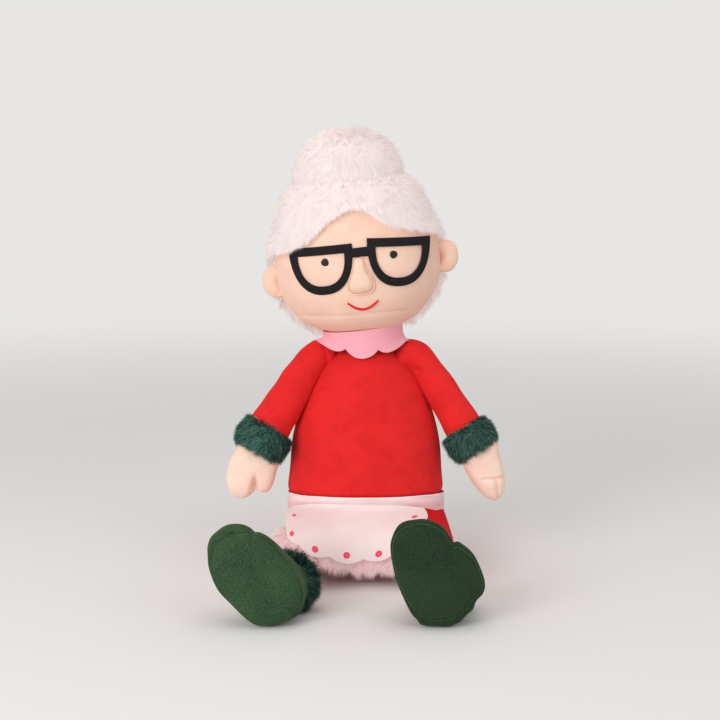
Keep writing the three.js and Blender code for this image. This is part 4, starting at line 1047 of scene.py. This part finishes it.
def makeLeg(side, word):
    foot = feet[word]
    lean = math.radians(foot["lean"])
    toe, across = np.array([-math.sin(lean), 0, math.cos(lean)]), np.array([math.cos(lean), 0, math.sin(lean)])
    body = f"leg_{word.lower()}"

    def place(p):  # side, depth and toe-ward into the doll's frame, never below the floor
        out = np.array(foot["middle"]) + p[..., :1] * across + p[..., 1:2] * backward + p[..., 2:3] * toe
        out[..., 2] = 0.5 * (out[..., 2] + np.sqrt(out[..., 2] ** 2 + 5))
        return out

    makeShoe(side, word, place, body)
    start = hip * [side, 1, 1]
    ankle = place(np.array([foot["ankle"][0], 42.0, foot["ankle"][1]]))
    path = bezier(start - unit(ankle - start) * 12, start + (ankle - start) * [0.0, 0.55, 1.0], ankle, 90)
    run = runAlong(path)
    radius = (13.8 - 0.8 * run / run[-1]) * roundEnd(run, 12)
    grid = sweep(path, rightward, radius, 64)
    grid += unit(grid - path[:, None]) * (ripple(grid, 22, 99 + side) * 0.5)[..., None]
    grid[..., 2] = np.maximum(grid[..., 2], 0.3)
    cloth = xyz(circle(64) * 13, run[:, None], 0)
    limb = surface(f"leg{word}", grid, tightsKnit, close="both", cloth=cloth)
    sewOn(limb, body, [f"leg_{word.lower()}"])
    strands = makeCuff((f"ankleCuff{word}", f"ankleFur{word}", f"ankle_cuff_{word.lower()}"), body,
                       ankle + [0, 8.5, 0], backward, rightward, feet["cuff"], np.array([0, -0.6, -0.3]), 110 + side,
                       {**feet["look"], "seed": 120 + side})
    settle(strands)


for side, word in bothSides:
    makeLeg(side, word)
print("legs ready")


# Skirt, fur hem, apron and ribbon

# The skirt's edge all the way round: degrees from the front, then where it lies
hemLine = [
    (-180, 0, 62, 6), (-135, -62, 42, 6), (-100, -74, 8, 7), (-82, -70, -21, 9), (-68, -68, -50, 19),
    (-56, -66, -76, 29), (-45, -60, -92, 36), (-36, -50, -94, 33), (-28, -38, -88, 28), (-18, -24, -82, 23),
    (0, 0, -80, 20), (18, 24, -83, 22), (28, 36, -90, 25), (36, 47, -98, 33), (45, 62, -101, 32), (55, 79, -84, 9),
    (66, 83, -58, 3), (80, 81, -24, 3), (100, 79, 8, 4), (135, 62, 42, 6), (180, 0, 62, 6)]
skirt = {
    "folds": 13, "foldDepth": 2.2, "bulge": 2.0, "thick": 1.1, "underRibbon": 11.0, "furBand": 15.0,
    "besideShoe": 8.0, "furLength": 12.0, "strands": 60000,
    "look": {**fur, "lift": 0.6, "lay": 0.75, "mess": 0.27, "curl": 0.25, "droop": 0.22, "clump": 45, "relief": 0.4,
             "twist": 0.35},
}


thigh = {"end": (52, -84, 42.0), "way": (0.55, -0.75, 0.3), "reach": 28.0}  # where the thigh lies; followThigh works its line out from this but moves no cloth with it


def onWaist(turn, off=0.0, up=0.0):  # the ribbon's lower edge, or a place off it and up from it
    y = waist["back"] - (waist["deep"] + off) * np.cos(turn)
    return xyz((waist["wide"] + off) * np.sin(turn), y, waistLevel(y) - 8 + up)


def skirtRun(turn):  # from the ribbon's lower edge to the skirt's edge, under each place on the waist
    start = onWaist(turn)
    edge = curveThrough(hemLine, np.degrees(turn).ravel()).reshape(turn.shape + (3,))
    length = np.linalg.norm(edge - start, axis=-1)
    return start, (edge - start) / length[..., None], length


def clothPlace(turn, down):  # down is along the cloth, from the ribbon's lower edge
    start, way, length = skirtRun(turn)
    fall = 0.5 * (down + np.sqrt(down**2 + 30))
    share = np.clip(down / length, 0, 1)
    back = np.where(np.cos(turn) > 0, 0.35, 1.0)
    puff = skirt["bulge"] * np.sin(np.pi * share) + skirt["foldDepth"] * share * np.cos(turn * skirt["folds"]) * back
    out = xyz(np.sin(turn), -np.cos(turn), 0.45)
    return start + way * fall[..., None] + upward * (fall - down)[..., None] + out * puff[..., None]


def clothOver(turn, down, out):  # the cloth's place, raised off it
    e = 0.02
    across = clothPlace(turn + e, down) - clothPlace(turn - e, down)
    along = clothPlace(turn, down + 1) - clothPlace(turn, down - 1)
    return clothPlace(turn, down) + unit(np.cross(along, across)) * np.asarray(out)[..., None]


def followThigh(piece, side):  # bakes the piece's placement into its mesh; the thigh's line is worked out but not used
    end = np.array(thigh["end"]) * [side, 1, 1]
    start = end - unit(np.array(thigh["way"]) * [side, 1, 1]) * thigh["reach"]
    tuple(start * mm)
    tuple(end * mm)
    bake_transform(piece)


def besideShoe(p):  # the cloth's edge is flattened where it lies behind the right shoe
    return smoothstep(p[:, 0:1], 62, 76) * smoothstep(-p[:, 1:2], -40, -10)


def makeSkirt():
    for side, word in bothSides:
        turn = np.linspace(0, np.pi, 220)[None] * side
        length = skirtRun(turn)[2]
        share = np.concatenate([np.linspace(0, 0.9, 46), np.linspace(0.92, 1, 6)])[:, None]
        down = mix(-skirt["underRibbon"], length, share)
        grid = clothOver(turn, down, 0.8)
        swell = 0.5 * ripple(grid, 22, 15) * smoothstep(share, 0.2, 0.7)
        grid += unit(grid - [0, -4, 30.0]) * swell[..., None]
        grid[..., 2] = np.maximum(grid[..., 2], 1.0)
        piece = surface(f"skirt{word}", grid, skirtKnit, wrap=False, thick=skirt["thick"],
                        cloth=xyz(80 * turn, down, 0))
        sewOn(piece, nodes=["skirt"] if side < 0 else ())
        share = np.linspace(0, 1, 12)[:, None]
        beside = besideShoe(curveThrough(hemLine, np.degrees(turn[0])))[:, 0]
        down = length - (skirt["furBand"] - skirt["besideShoe"] * beside) * (1 - share)
        band = clothOver(turn, down, 1.6 + 2.6 * np.sin(share * np.pi) ** 0.6)
        band[..., 2] = np.maximum(band[..., 2], 1.0)
        backing = surface(f"hemBand{word}", band, hemBacking, wrap=False, thick=1.0)
        sewOn(backing, nodes=["hem_trim"] if side < 0 else ())
        rng = np.random.default_rng(140 + side)
        roots, normals = scatter(corners(band, wrap=False), skirt["strands"], rng, [0, -30, 10.0])
        onward = unit(band[-1] - band[0])
        comb = onward[[found[1] for found in nearest(band[5], roots)]] + [0, 0, -0.35]
        comb = comb + 0.4 * ripple(roots, 13, 18)[:, None] * unit(np.cross(normals, comb))
        length = underApron(roots, skirt["furLength"]) * (1 - 0.5 * besideShoe(roots))
        strands = growFur(f"hemFur{word}", roots, normals, comb,
                          {**skirt["look"], "length": length, "seed": 150 + side}, hemStrands)
        settle(strands)
        sewOn(strands)
        for part in (piece, backing, strands):
            followThigh(part, side)


def apronPlace(x, y):  # a place on the flat apron: down the ribbon, out over the lap and down to its lower edge
    x, y = np.broadcast_arrays(np.asarray(x, float), np.asarray(y, float))
    turn = x / apron["roundWaist"] + math.radians(apron["middle"])
    top = onWaist(turn, apron["offRibbon"], apron["overRibbon"])
    end = curveThrough(apron["ends"], x.ravel()).reshape(x.shape + (3,))
    first = top + xyz(np.sin(turn), -np.cos(turn), -10.0)
    over = mix(top, end, apron["reach"])
    over[..., 2] = top[..., 2] - apron["sink"]
    t = np.linspace(0, 1, 25).reshape((25,) + (1,) * (x.ndim + 1))
    path = (1 - t) ** 3 * top + 3 * t * (1 - t) ** 2 * first + 3 * t**2 * (1 - t) * over + t**3 * end
    run = runAlong(path)
    want = y / apron["length"] * run[-1]
    step = np.clip((run < want).sum(axis=0) - 1, 0, 23)[None]
    low, high = (np.take_along_axis(run, step + k, 0)[0] for k in (0, 1))
    a, b = (np.take_along_axis(path, (step + k)[..., None], 0)[0] for k in (0, 1))
    return mix(a, b, ((want - low) / (high - low))[..., None])


def underApron(roots, length):  # strands are short where the apron presses them, and full beside it
    x, y = np.meshgrid(np.linspace(-1, 1, 90), np.linspace(0, 1, 60))
    inside = np.abs(x) ** apron["corner"] + y ** apron["corner"] < 0.9
    spots = apronPlace(x[inside] * apron["halfWidth"], mix(apron["sidesFrom"], apron["length"], y[inside]))
    found = nearest(spots, roots)
    near = np.array([f[0] for f in found])
    gap = np.array([f[2] for f in found])
    aside = np.hypot(*(near - roots)[:, :2].T)
    return np.where((aside < 5.0) & (gap < 24), np.clip(0.6 * gap - 1.5, 1.0, length), length)[:, None]


def topLine(x):  # the apron's upper edge, which curves down to its corners
    return apron["sidesFrom"] * (np.abs(x) / apron["halfWidth"]) ** 3.2


def makeApronPiece():
    ends = np.array(apron["ends"])
    split = np.interp(0, ends[:, 1], ends[:, 0])  # where the doll's middle falls on the apron
    turn, share = apronTurns()
    edge = scallopedEdge(np.interp(np.linspace(0, 1, 1201), share, turn))
    low = int(np.argmin(np.where(edge[:, 1] > apron["length"] / 2, np.abs(edge[:, 0] - split), 1e9)))
    middle = np.array([split, topLine(split) + 1e-3])
    for side, word in bothSides:
        lower = edge[:low + 1][::-1] if side < 0 else edge[low:]
        lower = lower[::3] if (len(lower) - 1) % 3 == 0 else np.vstack([lower[:-1:3], lower[-1:]])
        top = np.linspace(lower[-1, 0], split, 50)[1:-1]
        rim = np.vstack([lower, np.column_stack([top, topLine(top)])])
        t = np.linspace(0, 1, 76)[:, None, None] ** 0.8
        flat = middle + (rim - middle)[None] * t
        flat[..., 0] = np.where(side * (flat[..., 0] - split) < 0, split, flat[..., 0])
        grid = apronPlace(flat[..., 0], flat[..., 1])
        lift = 0.5 * ripple(grid, 34, 19) * smoothstep(flat[..., 1], 8, 30)
        grid += unit(grid - [0, -20, 10.0]) * lift[..., None]
        piece = surface(f"apron{word}", grid, apronSatin, wrap=False, thick=apron["thick"],
                        cloth=xyz(flat[..., 0], flat[..., 1], 0))
        sewOn(piece, nodes=["apron"] if side < 0 else ())
        (apron["halfWidth"] - side * split) * mm
        followThigh(piece, side)


def makeWaistRibbon():
    turn = np.linspace(-np.pi, np.pi, 420, endpoint=False)
    across = np.linspace(-0.5, 0.5, 18)[:, None]
    x, y = 70 * np.sin(turn), waist["deep"] * np.cos(turn)
    wave = ripple(xyz(x, y, 0), 40, 4)
    out = 2.3 + 0.5 * np.cos(across * 3.14) + 0.25 * ripple(xyz(x, y, across * 14), 15, 6)
    up = across * waist["ribbonWidth"]
    grid = xyz((waist["wide"] + out) * np.sin(turn), waist["back"] - (waist["deep"] + out) * np.cos(turn),
               waistLevel(waist["back"] - y) + up + 0.35 * wave)
    piece = surface("waistRibbon", grid, ribbonSatin, thick=0.5, cloth=xyz(72 * turn, up, 0))
    sewOn(piece, "torso", ["waist_ribbon"])


makeSkirt()
makeApronPiece()
makeWaistRibbon()
print("clothes ready")


# Stage

stage = {
    "pale": (0.80, 0.79, 0.78, 1), "floor": ((0.84, 0.83, 0.82, 1), (0.82, 0.81, 0.8, 1)), "fade": (0.35, 2.2),
    "sky": (1.0, 0.985, 0.97, 1), "skyStrength": 0.56, "aim": (0, -0.05, 0.18),
    # Place, size and power of each lamp
    "lamps": {"key": ((-1.2, -1.8, 0.85), 1.1, 25), "fill": ((1.4, -1.5, 0.8), 1.2, 5.0),
              "top": ((0.1, -0.4, 1.7), 1.2, 5)},
    "lens": 75, "camera": (-0.0055, -1.360, 0.3793), "tilt": 82,
}


def makeFloor():
    f = Finish("paleFloor")
    grain = f.noise(f.place(), 60)
    near = f.node("ShaderNodeBsdfDiffuse", inputs={"Color": f.blend(grain * 0.3, *stage["floor"])})
    seen = f.node("ShaderNodeLightPath", output="Is Camera Ray")
    far = f.node("ShaderNodeEmission", inputs={"Color": stage["pale"], "Strength": seen})
    away = f.node("ShaderNodeVectorMath", {"operation": "LENGTH"}, {0: f.place()}, "Value")
    fading = f.node("ShaderNodeMixShader", inputs={0: f.step(away, *stage["fade"]), 1: near, 2: far})
    f.node("ShaderNodeOutputMaterial", inputs={"Surface": fading})  # far off it fades into the plain background
    bpy.ops.mesh.primitive_plane_add(size=12, location=(0, 0, 0))
    floor = bpy.context.object
    floor.name = "floor"
    floor.data.materials.append(f.made)


def makeLight():
    f = Finish("studio", bpy.data.worlds)
    light = f.node("ShaderNodeBackground", inputs={"Color": stage["sky"], "Strength": stage["skyStrength"]})
    plain = f.node("ShaderNodeBackground", inputs={"Color": stage["pale"], "Strength": 1.0})
    seen = f.node("ShaderNodeLightPath", output="Is Camera Ray")
    either = f.node("ShaderNodeMixShader", inputs={0: seen, 1: light, 2: plain})
    f.node("ShaderNodeOutputWorld", inputs={"Surface": either})
    bpy.context.scene.world = f.made
    for name, (where, size, power) in stage["lamps"].items():
        data = bpy.data.lights.new(name, "AREA")
        data.size, data.energy = size, power
        lamp = bpy.data.objects.new(name, data)
        bpy.context.scene.collection.objects.link(lamp)
        lamp.location = where
        lamp.rotation_euler = (Vector(stage["aim"]) - Vector(where)).to_track_quat("-Z", "Y").to_euler()


def makeCamera():
    data = bpy.data.cameras.new("camera")
    data.lens, data.sensor_width = stage["lens"], 36
    camera = bpy.data.objects.new("camera", data)
    bpy.context.scene.collection.objects.link(camera)
    camera.location = stage["camera"]
    camera.rotation_euler = (math.radians(stage["tilt"]), 0, 0)
    bpy.context.scene.camera = camera


makeCamera()
makeFloor()
makeLight()
bpy.context.scene.view_settings.view_transform = "Standard"
print("stage ready")
